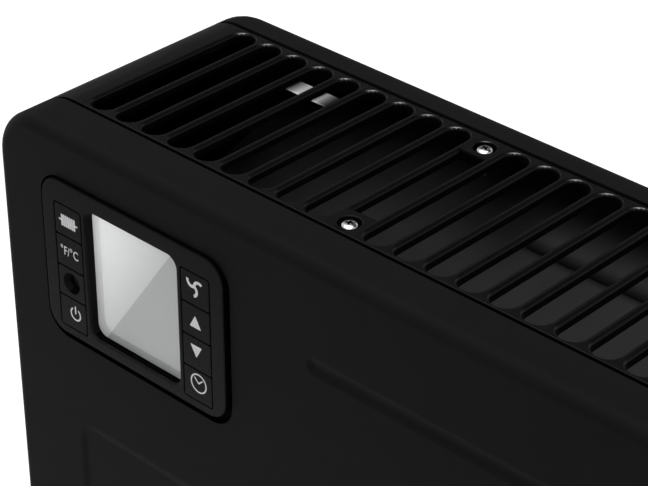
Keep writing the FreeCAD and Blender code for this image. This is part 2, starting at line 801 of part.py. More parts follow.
def display():
    """Clear lens, display module, receiver window and board, from front to back."""
    lens_x = ("bezel_x - win_w / 2 - collar_t", "bezel_x + win_w / 2 + collar_t")
    lens_z = ("win_low - collar_t", "win_top + collar_t")
    node("lcd_lens", box("lcd_lens", lens_x, ("-win_y", "-lens_back"), lens_z))
    node("lcd_module", box("lcd_module", lens_x, ("-lens_back", "-board_y"), lens_z))
    eye_at = ("bezel_x - key_column", f"keys_z - {EYE_ROW + 0.5} * key_pitch")
    lens = rod("ir_lens", "y", "eye_throat + eye_rim", ("-bezel_back", "-switch_y"), eye_at)
    base = rod("ir_base", "y", "eye_throat", ("-switch_y", "-board_y"), eye_at)
    node("ir_window", join("ir_window", [lens, base]))
    board = new_body("control_board")
    outline = new_sketch(board, "XZ_Plane", "-board_y")
    panel_outline(outline, "-house_t - board_gap", "bezel_rad - house_t - board_gap")
    pad(board, outline, "board_t", flip=True)


def control_housing():
    """Box behind the bezel, with a flange on the bezel's own and posts that hold the board."""
    body = new_body("control_housing")
    flange = new_sketch(body, "XZ_Plane", "-flange_back")
    panel_outline(flange, "flange_w", "bezel_rad + flange_w / 2")
    pad(body, flange, "flange_t", flip=True)
    outside = new_sketch(body, "XZ_Plane", "-flange_back")
    panel_outline(outside, "0", "bezel_rad")
    pad(body, outside, "flange_back - house_y + house_t", flip=True)
    inside = new_sketch(body, "XZ_Plane", "-flange_back")
    panel_outline(inside, "-house_t", "bezel_rad - house_t")
    pocket(body, inside, "flange_back - house_y")
    posts = new_sketch(body, "XZ_Plane", "-board_back")
    for side in (-1, 1):
        for level in (-1, 1):
            at_post = (f"bezel_x + {side} * bezel_w / 3", f"bezel_z + {level} * bezel_h / 3")
            circle(posts, *at_post, "post_rad")
    pad(body, posts, "post_len + house_t / 2", flip=True)
    holes = new_sketch(body, "XZ_Plane", "-flange_back")
    for across, up in control_screw_places():
        circle(holes, across, up, "screw_rad + hole_gap")
    pocket(body, holes, "2 * flange_t")


def control_screws():
    made = []
    seat = "flange_t - flange_back"
    for number, (across, up) in enumerate(control_screw_places()):
        made.append(screw(f"control_screw_{number}", "y", ("screw_rad", ("-skin_y", seat)),
                          ("head_rad", (seat, f"{seat} + head_h")), (across, up)))
    node("control_screws", group("control_screws", made))


# Inside the casing

def air_deflector():
    """Sloping sheet with a flange on the rear shell and a long slit."""
    body = new_body("air_deflector")
    profile = new_sketch(body, "YZ_Plane", "-guard_x")
    flange_end = "guard_rear_z - guard_flange"
    polygon(profile, [("skin_y", "guard_rear_z"), ("-guard_front_y", "guard_front_z"),
                      ("-guard_front_y", "guard_front_z - guard_t"),
                      ("skin_y - guard_t", "guard_rear_z - 1.5 * guard_t"),
                      ("skin_y - guard_t", flange_end), ("skin_y", flange_end)])
    pad(body, profile, "2 * guard_x")
    slit = new_sketch(body, "XY_Plane", "guard_rear_z")
    reach = "guard_x - slit_inset"
    rounded_loop(slit, [(f"-({reach})", "slit_y"), (reach, "slit_y")], "slit_w / 2")
    pocket(body, slit, "guard_front_drop")


def partition_plate():
    """Upright sheet with a flange on the rear shell, clear of the tray and the shells' rolled edges."""
    body = new_body("partition_plate")
    rise = "max(frame_t; rear_bend) + wall_gap"
    front = "groove_d + wall_gap - skin_y"
    profile = new_sketch(body, "XY_Plane", f"foot_rise + {rise}")
    polygon(profile, [("wall_x", front), ("wall_x + wall_t", front),
                      ("wall_x + wall_t", "skin_y - wall_t"), ("wall_x + wall_flange", "skin_y - wall_t"),
                      ("wall_x + wall_flange", "skin_y"), ("wall_x", "skin_y")])
    pad(body, profile, f"body_h - wall_drop - ({rise})")


def heater():
    """Finned sleeve on a sheathed rod, carried by bushes in two brackets on the rear shell."""
    axis = ("0", "heat_z")
    brackets = (("element_bracket_left", "heat_left", -1), ("element_bracket_right", "heat_right", 1))
    rise = ("heat_z - bracket_h / 2", "heat_z + bracket_h / 2")
    for label, place, way in brackets:
        faces = (place, f"{place} + bracket_t") if way < 0 else (f"{place} - bracket_t", place)
        plate = box(label + "_plate", faces, ("-bracket_h / 2", "skin_y"), rise)
        flange = (f"{place} - bracket_flange", place) if way < 0 else (place, f"{place} + bracket_flange")
        foot = box(label + "_foot", flange, ("skin_y - bracket_t", "skin_y"), rise)
        hole = rod(label + "_hole", "x", "bush_rad + fit_gap",
                   ("heat_left - bush_len", "heat_right + bush_len"), axis)
        node(label, cut(label, join(label + "_sheet", [plate, foot]), [hole]))
    bushes = []
    for number, middle in enumerate(("heat_left + bracket_t / 2", "heat_right - bracket_t / 2")):
        span = (f"{middle} - bush_len / 2", f"{middle} + bush_len / 2")
        body = rod(f"bush_{number}", "x", "bush_rad", span, axis)
        bore = rod(f"bush_bore_{number}", "x", "rod_rad + fit_gap", span, axis)
        bushes.append(cut(f"bush_{number}_ring", body, [bore]))
    node("element_bushes", group("element_bushes", bushes))
    ends = ("heat_left + (bracket_t - bush_len) / 2 - rod_out",
            "heat_right - (bracket_t - bush_len) / 2 + rod_out")
    sheath = rod("rod_sheath", "x", "rod_rad", ends, axis)
    pins = rod("rod_pins", "x", "pin_rad", (f"{ends[0]} - pin_len", f"{ends[1]} + pin_len"), axis)
    node("element_rod", join("element_rod", [sheath, pins]))
    body = new_body("heating_element")
    sleeve = new_sketch(body, "YZ_Plane", "sleeve_left")
    circle(sleeve, *axis, "sleeve_rad")
    pad(body, sleeve, "sleeve_right - sleeve_left")
    fin = new_sketch(body, "YZ_Plane", "(sleeve_left + sleeve_right - fin_run - fin_t) / 2")
    rounded_rectangle(fin, "-fin_d / 2", "fin_d / 2", "heat_z - fin_h / 2", "heat_z + fin_h / 2",
                      "fin_corner")
    first = pad(body, fin, "fin_t")
    row_of(body, [first], "fin_run", "fin_count")
    bore = new_sketch(body, "YZ_Plane", "sleeve_right")
    circle(bore, *axis, "rod_rad + fit_gap")
    pocket(body, bore, "sleeve_right - sleeve_left")


def fan_end_plate(housing, start, hole):
    plate = new_sketch(housing, "YZ_Plane", start)
    polygon(plate, [("-fan_front_y", "fan_low"), ("skin_y", "fan_low"),
                    ("skin_y", "fan_high"), ("-fan_front_y", "fan_high")])
    circle(plate, "0", "fan_z", hole)
    pad(housing, plate, "fan_plate_t")


def fan_housing():
    """End plates that stand on the rear shell, joined by a rear and a front guide sheet."""
    body = new_body("fan_housing")
    fan_end_plate(body, "fan_left", "boss_rad + fit_gap")
    guides = new_sketch(body, "YZ_Plane", "fan_left")
    leaning = "scroll_y + scroll_gap"
    polygon(guides, [("scroll_y", "fan_low"), ("scroll_y + scroll_t", "fan_low"),
                     ("scroll_y + scroll_t", "fan_z"), (f"{leaning} + scroll_t", "fan_high"),
                     (leaning, "fan_high"), ("scroll_y", "fan_z")])
    polygon(guides, [("-scroll_y - scroll_t", "fan_z"), ("-scroll_y", "fan_z"),
                     ("-scroll_y", "fan_high"), ("-scroll_y - scroll_t", "fan_high")])
    pad(body, guides, "fan_right + fan_plate_t - fan_left")
    fan_end_plate(body, "fan_right", "bearing_rad + fit_gap")


def fan_drive():
    """Motor and end bearing in the end plates, with the shaft that they carry."""
    axis = ("0", "fan_z")
    plate_in = "fan_left + fan_plate_t"
    case = rod("motor_case", "x", "motor_rad", ("fan_left - motor_len", "fan_left"), axis)
    boss = rod("motor_boss", "x", "boss_rad", ("fan_left", plate_in), axis)
    well = ("fan_left - shaft_in - shaft_gap", plate_in)
    bore = rod("motor_bore", "x", "shaft_rad + shaft_gap", well, axis)
    node("fan_motor", cut("fan_motor", join("motor_solid", [case, boss]), [bore]))
    bearing_span = ("fan_right + (fan_plate_t - bearing_len) / 2",
                    "fan_right + (fan_plate_t + bearing_len) / 2")
    bush = rod("bearing_bush", "x", "bearing_rad", bearing_span, axis)
    bush_bore = rod("bearing_bore", "x", "shaft_rad + shaft_gap", bearing_span, axis)
    node("fan_bearing", cut("fan_bearing", bush, [bush_bore]))
    ends = ("fan_left - shaft_in", "fan_right + bearing_len")
    node("fan_shaft", rod("fan_shaft", "x", "shaft_rad", ends, axis))


def fan_impeller():
    """Drum of blades between two end discs, fast on the shaft."""
    impeller = new_body("fan_impeller")
    disc = new_sketch(impeller, "YZ_Plane", "0")
    circle(disc, "0", "0", "fan_rad")
    pad(impeller, disc, "disc_t")
    blade = new_sketch(impeller, "YZ_Plane", "0")
    polygon(blade, [("-blade_t / 2", "fan_rad - blade_w"), ("blade_t / 2", "fan_rad - blade_w"),
                    ("blade_t / 2", "fan_rad - blade_t"), ("-blade_t / 2", "fan_rad - blade_t")])
    first = pad(impeller, blade, "fan_len")
    ring_of = impeller.newObject("PartDesign::PolarPattern", "fan_impeller_ring")
    ring_of.Originals = [first]
    ring_of.Axis = (next(item for item in impeller.Origin.OriginFeatures if item.Role == "X_Axis"), [""])
    ring_of.Angle = 360
    ring_of.setExpression("Occurrences", bound("blade_count"))
    impeller.Tip = ring_of
    far = new_sketch(impeller, "YZ_Plane", "fan_len - disc_t")
    circle(far, "0", "0", "fan_rad")
    pad(impeller, far, "disc_t")
    bore = new_sketch(impeller, "YZ_Plane", "fan_len")
    circle(bore, "0", "0", "shaft_rad + shaft_gap / 2")
    pocket(impeller, bore, "fan_len")
    impeller.setExpression("Placement.Base.x", bound("fan_start"))
    impeller.setExpression("Placement.Base.z", bound("fan_z"))


def power_side():
    """Power board on spacers, relays, terminal block, gland and cut-out, all on the rear shell."""
    board_x = ("power_left", "power_right")
    board_z = ("power_z", "power_z + power_h")
    node("power_board", box("power_board", board_x, ("power_front", "power_back"), board_z))
    spacers = []
    for number, across in enumerate(("power_left + spacer_in", "power_right - spacer_in")):
        for level, up in enumerate(("power_z + spacer_in", "power_z + power_h - spacer_in")):
            spacers.append(rod(f"spacer_{number}_{level}", "y", "spacer_rad", ("power_back", "skin_y"),
                               (across, up)))
    node("board_spacers", group("board_spacers", spacers))
    relays = []
    for number in (1, 3):
        middle = f"power_left + {number} * (power_right - power_left) / 4"
        relays.append(box(f"relay_{number}", (f"{middle} - relay_w / 2", f"{middle} + relay_w / 2"),
                          ("power_front - relay_d", "power_front"),
                          ("power_z + power_h / 2", "power_z + power_h / 2 + relay_h")))
    node("power_relays", group("power_relays", relays))
    block_low = "gland_z + 1.5 * gland_flange"
    node("terminal_block", box("terminal_block", ("gland_x - block_w / 2", "gland_x + block_w / 2"),
                               ("skin_y - block_d", "skin_y"), (block_low, f"{block_low} + block_h")))
    at_gland = ("gland_x", "gland_z")
    body = rod("gland_body", "y", "gland_rad", ("skin_y - gland_in", "face_y"), at_gland)
    outer = rod("gland_outer", "y", "gland_flange", ("face_y", "face_y + gland_flange_t"), at_gland)
    nut = rod("gland_nut", "y", "gland_flange", ("skin_y - gland_flange_t", "skin_y"), at_gland)
    through = ("skin_y - gland_in", "face_y + gland_flange_t")
    bore = rod("gland_hole", "y", "gland_bore", through, at_gland)
    node("cord_gland", cut("cord_gland", join("gland_solid", [body, outer, nut]), [bore]))
    shelf_x = ("shelf_x", "shelf_x + shelf_w")
    ledge = box("shelf_ledge", shelf_x, ("skin_y - shelf_d", "skin_y"), ("shelf_z - sheet_t", "shelf_z"))
    back = box("shelf_back", shelf_x, ("skin_y - sheet_t", "skin_y"), ("shelf_z - shelf_h", "shelf_z"))
    node("cutout_bracket", join("cutout_bracket", [ledge, back]))
    middle = ("shelf_x + shelf_w / 2", "shelf_z - sheet_t - cutout_rad")
    node("thermal_cutout", rod("thermal_cutout", "y", "cutout_rad",
                               ("skin_y - sheet_t - cutout_len", "skin_y - sheet_t"), middle))


# Feet

def feet():
    """Moulded feet with rubber pads, screwed up into the tray."""
    pads = []
    bolts = []
    for label, side in (("left_foot", -1), ("right_foot", 1)):
        body = new_body(label)
        profile = new_sketch(body, "YZ_Plane", f"{side} * foot_x - foot_w / 2")
        polygon(profile, [("-foot_len / 2", "pad_t"), ("foot_len / 2", "pad_t"),
                          ("foot_len / 2", "foot_toe"), ("foot_neck / 2", "foot_rise"),
                          ("-foot_neck / 2", "foot_rise"), ("-foot_len / 2", "foot_toe")])
        pad(body, profile, "foot_w")
        holes = new_sketch(body, "XY_Plane", "foot_rise")
        wells = new_sketch(body, "XY_Plane", "foot_rise - bolt_seat")
        for end in (-1, 1):
            at_bolt = (f"{side} * foot_x", f"{end} * bolt_y")
            circle(holes, *at_bolt, "bolt_rad + hole_gap")
            circle(wells, *at_bolt, "bolt_head_rad + hole_gap")
            seat = "foot_rise - bolt_seat"
            bolts.append(screw(f"{label}_bolt_{end + 1}", "z",
                               ("bolt_rad", (seat, "foot_rise + frame_t + bolt_boss_h")),
                               ("bolt_head_rad", (f"{seat} - bolt_head_h", seat)), at_bolt))
            pads.append(rod(f"{label}_pad_{end + 1}", "z", "pad_rad", ("0", "pad_t"),
                            (f"{side} * foot_x", f"{end} * (foot_len / 2 - pad_in)")))
        pocket(body, holes, "bolt_seat")
        pocket(body, wells, "foot_rise")
    node("foot_pads", group("foot_pads", pads))
    node("foot_screws", group("foot_screws", bolts))


def check_and_write():
    """Stop on anything that failed, then write each sub-part."""
    doc.recompute()
    for item in doc.Objects:
        if any(word in item.State for word in ("Invalid", "Error")):
            raise RuntimeError(f"{item.Name} failed: {item.State}")
    for label, item in nodes.items():
        item.Label = label
        shape = item.Shape
        if shape.isNull() or not shape.isValid() or not shape.Solids:
            raise RuntimeError(f"{label} has no sound shape")
    os.makedirs("parts", exist_ok=True)
    for label, item in nodes.items():
        item.Shape.exportStep(f"parts/{label}.step")
        print(label, len(item.Shape.Solids), round(item.Shape.Volume, 1))


front_panel()
rear_panel()
grille_frame()
bottom_tray()
casing_screws()
control_bezel()
keys()
display()
control_housing()
control_screws()
air_deflector()
partition_plate()
heater()
fan_housing()
fan_drive()
fan_impeller()
power_side()
feet()
check_and_write()
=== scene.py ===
import json
import math

import bmesh
import bpy
from mathutils import Matrix, Vector


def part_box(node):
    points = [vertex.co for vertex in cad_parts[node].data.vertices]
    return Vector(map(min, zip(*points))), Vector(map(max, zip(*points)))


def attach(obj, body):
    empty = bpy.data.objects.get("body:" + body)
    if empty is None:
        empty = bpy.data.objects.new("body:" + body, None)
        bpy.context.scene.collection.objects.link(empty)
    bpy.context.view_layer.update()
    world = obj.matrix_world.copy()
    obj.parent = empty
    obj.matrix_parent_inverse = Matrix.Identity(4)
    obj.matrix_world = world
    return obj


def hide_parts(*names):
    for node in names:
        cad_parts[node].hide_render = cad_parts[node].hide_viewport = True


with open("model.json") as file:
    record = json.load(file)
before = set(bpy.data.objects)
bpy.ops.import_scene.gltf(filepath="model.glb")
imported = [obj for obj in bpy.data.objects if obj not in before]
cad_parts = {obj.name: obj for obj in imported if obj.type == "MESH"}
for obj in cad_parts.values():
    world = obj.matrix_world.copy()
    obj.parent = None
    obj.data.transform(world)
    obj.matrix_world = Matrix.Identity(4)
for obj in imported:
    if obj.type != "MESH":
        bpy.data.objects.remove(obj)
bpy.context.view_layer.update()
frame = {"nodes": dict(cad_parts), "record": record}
scene = bpy.context.scene

# Places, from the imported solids, in metres
front_low, front_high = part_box("front_panel")
band_low, band_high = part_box("grille_frame")
bezel_low, bezel_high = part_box("control_bezel")
lens_low, lens_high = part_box("lcd_lens")
gland_low, gland_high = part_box("cord_gland")
gland_middle = (gland_low + gland_high) / 2
SIDE = front_high.x
TOP = front_high.z
RISE = front_low.z
FACE = -front_low.y
FRONT_FACING = Matrix.Rotation(math.radians(90), 4, "X")
REAR_FACING = Matrix.Rotation(math.radians(180), 4, "Z") @ FRONT_FACING

# Sizes of the casing
CORNER = 0.0185
BEND = 0.0046
REAR_BEND = 0.0134
SHEET = 0.001
WALL = 0.003
LIP_REACH = 0.0038
LAP = 0.002
SEAM_GAP = 0.0015
SEAM_SHIFT = 0.0009
BAND = band_high.y - LIP_REACH - SEAM_SHIFT
RIM = BAND + SEAM_GAP
FRAME_EDGE = 0.0004
FRAME_EDGE_MIDDLE = FRAME_EDGE * 0.3

# Steps along round stretches, and limits for seams, creases and upright faces
CORNER_STEPS = 12
BEND_STEPS = 8
PRESS_STEPS = 8
SLOT_STEPS = 10
MOUTH_STEPS = 6
EDGE_STEPS = 4
FINE_STEPS = 3
MERGE = 0.000002
CREASE = math.radians(35)
UPRIGHT = 0.5

# Grille and intake
SLOT_PITCH = 0.012
SLOT_COUNT = 46
SLOT_HALF = 0.0045
SLOT_REACH = 0.0355
SLOT_ROUND = 0.0014
SLOT_TUCK = 0.0007
GRILLE = dict(half=SLOT_HALF, reach=SLOT_REACH, rounding=SLOT_ROUND, tuck=SLOT_TUCK,
              pitch=SLOT_PITCH, count=SLOT_COUNT)
INTAKE = dict(half=0.004, reach=0.026, rounding=0.0008, tuck=0, pitch=0.014, count=21)
FLAT_FACES = ((TOP, BAND - FRAME_EDGE), (TOP - WALL, band_high.y))

# Screw seats in the grille, and polished beads
SEAT_DROP = 0.0025
SEAT_THICK = 0.0012
SEAT_IN = 0.0245
WEB_DROP = 0.00003
WEB_EDGE = 0.0007
WEB_CORNER = 0.0016
WEB_HALF = SLOT_HALF + SLOT_ROUND + WEB_EDGE
WEB_REACH = 0.036
POCKET_RADIUS = 0.0038
POCKET_EDGE = 0.0004
POCKET_STEPS = 28
BEAD_PROUD = 0.00003
BEAD_DEPTH = 0.0003
BEAD_ANGLES = (20, 32, 44, 56, 68, 80)
BEAD_SWEEP = 130
BEAD_STEPS = 20

# Pressed forms of the front shell
GROOVE_INSET = 0.14425
GROOVE_DROP = 0.036
GROOVE_HALF = 0.0019
GROOVE_DEPTH = 0.0009
GROOVE_SLOPE = 0.0034
FIELD_INSET = 0.033
FIELD_LOW = 0.08
FIELD_HIGH = 0.3303
FIELD_CORNER = 0.009
FIELD_DEPTH = 0.0005
FIELD_SLOPE = 0.004

# Rear shell
LOUVRE_HALF = 0.003
LOUVRE_REACH = 0.017
LOUVRE_PITCH = 0.014
LOUVRE_COUNT = 23
LOUVRE_LEVEL = 0.1
LOUVRE_STEPS = 6
WALL_HOLE_X = 0.15
WALL_HOLE_LEVELS = (0.23, 0.35)
WALL_HOLE_RADIUS = 0.00225
WALL_HOLE_STEPS = 20

# Feet, pads and gland
FOOT_NECK = 0.092
FOOT_TOE = 0.014
FOOT_ROUND = 0.005
FOOT_ROUND_STEPS = 6
FOOT_EDGE = 0.0018
FOOT_RIM_ANGLE = math.radians(60)
WELL_RADIUS = 0.0052
WELL_REACH = 0.024
WELL_DEPTH = 0.012
WELL_STEPS = 32
PAD_RADIUS = 0.009
PAD_EDGE = 0.0008
PAD_RING = 0.0006
PAD_STEPS = 40
GLAND_RADIUS = 0.006
GLAND_BORE = 0.0037
GLAND_FLANGE = 0.0095
GLAND_FLANGE_THICK = 0.003
GLAND_EDGE = 0.0009
GLAND_EDGE_STEPS = 5
GLAND_HOLE_STEPS = 24
GLAND_STEPS = 48

# Air deflector, its slit and apron, and the bright lip over the thermal cut-out
DEFLECTOR_THICK = 0.0008
SLIT_Y = 0.0264
SLIT_REACH = 0.1395
SLIT_HALF = 0.0002
SLIT_ROLL = 0.0036
SLIT_STEPS = 8
APRON_REACH = 0.022
APRON_LENGTH = 0.062
APRON_LAP = 0.003
APRON_DROP = 0.0001
LIP_SIDES = (-0.2635, -0.2415, 0.0436, 0.0507)
LIP_THICK = 0.0006
LIP_EDGE = LIP_THICK / 3

# Control panel
FLANGE = 0.006
BEZEL_SIDES = (bezel_low.x + FLANGE, bezel_high.x - FLANGE, bezel_low.z + FLANGE, bezel_high.z - FLANGE)
BEZEL_CORNER = 0.008
BEZEL_EDGE = 0.0005
OPENING_SHIFTS = (-0.0021, 0.0014, -0.0032, 0.0003)
OPENING_CORNER = 0.0095
WINDOW_LIP = 0.001
WINDOW_EDGE = 0.0008
WINDOW_SHADE_DEPTH = WINDOW_EDGE * 0.75
WINDOW_CORNER = 0.004
KEY_SIDE = 0.00095
KEY_GAP = 0.00045
KEY_TRIM = 0.0001
KEY_CORNER = 0.0006
KEY_EDGE = 0.0002
KEY_SHIFTS = {"heat_key": (-0.0005, -0.0007), "units_key": (-0.0004, -0.0005)}
KEYS = ("heat_key", "units_key", "power_key", "fan_key", "up_key", "down_key", "timer_key")
KEY_COLUMNS = (("heat_key", "power_key"), ("fan_key", "timer_key"))
EYE_MOUTH = 0.0039
EYE_THROAT = 0.0026
EYE_DEPTH = 0.002
EYE_STEPS = 32
PRINT_THICK = 0.00004

# Screws
SCREW_HEAD = 0.0029
SCREW_STEPS = 36
HEAD_HEIGHT = 0.0024
HEAD_STEPS = 8
HEAD_SIDE = 0.3
HEAD_BULGE = 0.8
HEAD_CROWN = 0.7
THREAD_RADIUS = 0.00145
RECESS_REACH = 0.0018
RECESS_HALF = 0.00055
RECESS_DEPTH = 0.0011
RECESS_TAPER = 0.45
RECESS_SHARE = 0.93
GRILLE_TURNS = (20, 65, 10, 50)
BOTTOM_TURNS = (35, 5, 70, 25)


# Loops and skins

def outline(bm, corners, radius, level, steps, start=math.pi):
    """Loop of edges round the corners' centres, anticlockwise, whose first arc begins at an angle."""
    known = set(bm.edges)
    turn = math.tau / len(corners)
    ends = []
    for number, (across, up) in enumerate(corners):
        centre = Vector((across, up, level))
        angle = start + number * turn
        first = bm.verts.new(centre + radius * Vector((math.cos(angle), math.sin(angle), 0)))
        swept = bmesh.ops.spin(bm, geom=[first], cent=centre, axis=(0, 0, 1), angle=turn, steps=steps)
        ends.append((first, swept["geom_last"][0]))
    for number, (_, last) in enumerate(ends):
        bm.edges.new((last, ends[(number + 1) % len(ends)][0]))
    return [edge for edge in bm.edges if edge not in known]


def straight_loop(bm, points):
    """Loop of straight edges through points."""
    verts = [bm.verts.new(point) for point in points]
    return [bm.edges.new((verts[index - 1], vert)) for index, vert in enumerate(verts)]


def ring(bm, centre, radius, level, steps):
    """Round loop of edges."""
    known = set(bm.edges)
    place = Matrix.Translation((*centre, level))
    bmesh.ops.create_circle(bm, segments=steps, radius=radius, matrix=place)
    return [edge for edge in bm.edges if edge not in known]


def loft(bm, loops):
    """Skin between neighbouring loops."""
    for lower, upper in zip(loops, loops[1:]):
        bmesh.ops.bridge_loops(bm, edges=lower + upper)


def plate(bm, loops):
    """Flat face inside the first loop, with the other loops as holes."""
    edges = [edge for loop in loops for edge in loop]
    bmesh.ops.triangle_fill(bm, edges=edges, use_beauty=True, normal=(0, 0, 1))


def rectangle(low_x, high_x, low_z, high_z, radius):
    """Corner centres of a rounded rectangle, anticlockwise from the lower left."""
    left, right = low_x + radius, high_x - radius
    low, high = low_z + radius, high_z - radius
    return [(left, low), (right, low), (right, high), (left, high)]


def quarter(steps):
    """Shares of a quarter round: how far in and how far down, from its upper end."""
    angles = [math.radians(90) * step / steps for step in range(steps + 1)]
    return [(1 - math.sin(angle), 1 - math.cos(angle)) for angle in angles]


def rounded_hole(bm, corners, radius, edge, front, back, steps):
    """Hole with a rounded mouth; gives its loops at the front and at the back."""
    loops = []
    for into, down in quarter(FINE_STEPS):
        loops.append(outline(bm, corners, radius + edge * into, front - edge * down, steps))
    loops.append(outline(bm, corners, radius, back, steps))
    loft(bm, loops)
    return loops[0], loops[-1]


def rounded_block(bm, corners, radius, edge, front, back, steps=EDGE_STEPS, edge_steps=EDGE_STEPS):
    """Outer wall of a block with a rounded front edge; gives its loops at the front and at the back."""
    loops = [outline(bm, corners, radius, back, steps)]
    for into, down in reversed(quarter(edge_steps)):
        loops.append(outline(bm, corners, radius - edge * into, front - edge * down, steps))
    loft(bm, loops)
    return loops[-1], loops[0]


def capped_block(corners, radius, edge, front, back):
    """Closed block with a rounded front edge."""
    bm = bmesh.new()
    for loop in rounded_block(bm, corners, radius, edge, front, back):
        plate(bm, [loop])
    close_up(bm)
    return bm


def turned(bm, profile, steps):
    """Spin a profile of radii and heights about the upright axis."""
    verts = [bm.verts.new((radius, 0, height)) for radius, height in profile]
    edges = [bm.edges.new(pair) for pair in zip(verts, verts[1:])]
    bmesh.ops.spin(bm, geom=verts + edges, cent=(0, 0, 0), axis=(0, 0, 1), angle=math.tau, steps=steps,
                   use_merge=True)
    close_up(bm)


def drawn_out(bm, edges, vec, steps=1):
    """Skin from edges along a direction, in equal steps; gives the edges at its end."""
    made = bmesh.ops.spin(bm, geom=edges, cent=(0, 0, 0), axis=(0, 0, 1), dvec=vec, angle=0, steps=steps)
    return of_kind(made["geom_last"], bmesh.types.BMEdge)


def round_edges(bm, edges, offset, segments):
    """Bevel edges to a round."""
    bmesh.ops.bevel(bm, geom=edges, offset=offset, segments=segments, profile=0.5, affect="EDGES",
                    material=-1)


def of_kind(items, kind):
    return [item for item in items if isinstance(item, kind)]


def close_up(bm):
    """Join the seams of a closed mesh and turn its faces outwards."""
    bmesh.ops.remove_doubles(bm, verts=bm.verts, dist=MERGE)
    bmesh.ops.recalc_face_normals(bm, faces=bm.faces)


def face_outwards(bm, way):
    """Join the seams of an open skin and turn it so that its widest face looks the given way."""
    close_up(bm)
    widest = max(bm.faces, key=lambda face: face.calc_area())
    if widest.normal.dot(Vector(way)) < 0:
        bmesh.ops.reverse_faces(bm, faces=bm.faces)


def face_up(faces):
    """Turn flat faces so that they look up."""
    for face in faces:
        face.normal_update()
        if face.normal.z < 0:
            face.normal_flip()


# Meshes and objects

def mesh_of(name, bm):
    """Mesh from a bmesh, which is freed."""
    mesh = bpy.data.meshes.new(name)
    bm.to_mesh(mesh)
    bm.free()
    return mesh


def placed(name, data):
    """New object in the scene."""
    made = bpy.data.objects.new(name, data)
    scene.collection.objects.link(made)
    return made


def copies(mesh, places):
    """Copies of a mesh, each in its own place."""
    bm = bmesh.new()
    for place in places:
        known = set(bm.verts)
        bm.from_mesh(mesh)
        bmesh.ops.transform(bm, matrix=place, verts=[vert for vert in bm.verts if vert not in known])
    return bm


def carved(bm, cutter):
    """Mesh of a closed shape with another cut out of it."""
    block = placed("block", mesh_of("block", bm))
    knife = placed("knife", mesh_of("knife", cutter))
    cut = block.modifiers.new("cut", "BOOLEAN")
    cut.object = knife
    cut.solver = "EXACT"
    cut.use_self = True
    whole = block.evaluated_get(bpy.context.evaluated_depsgraph_get())
    made = bpy.data.meshes.new_from_object(whole)
    for holder in (block, knife):
        bpy.data.objects.remove(holder)
    return made


def piece(name, bm, slot, body="casing", nodes=(), looks=()):
    """Finish a mesh as a piece with a record finish, or other looks, on a body, in place of CAD nodes."""
    mesh = mesh_of(name, bm)
    mesh.shade_smooth()
    mesh.set_sharp_from_angle(angle=CREASE)
    for look in looks or [slot]:
        mesh.materials.append(finishes[look])
    made = placed(name, mesh)
    made.modifiers.new("even_normals", "WEIGHTED_NORMAL").keep_sharp = True
    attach(made, body)
    if nodes:
        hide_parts(*nodes)
    return made


# Finishes

COOL = 1.02


def greys(*levels):
    """Neutral colours, a touch cool."""
    return [(level, level, level * COOL) for level in levels]


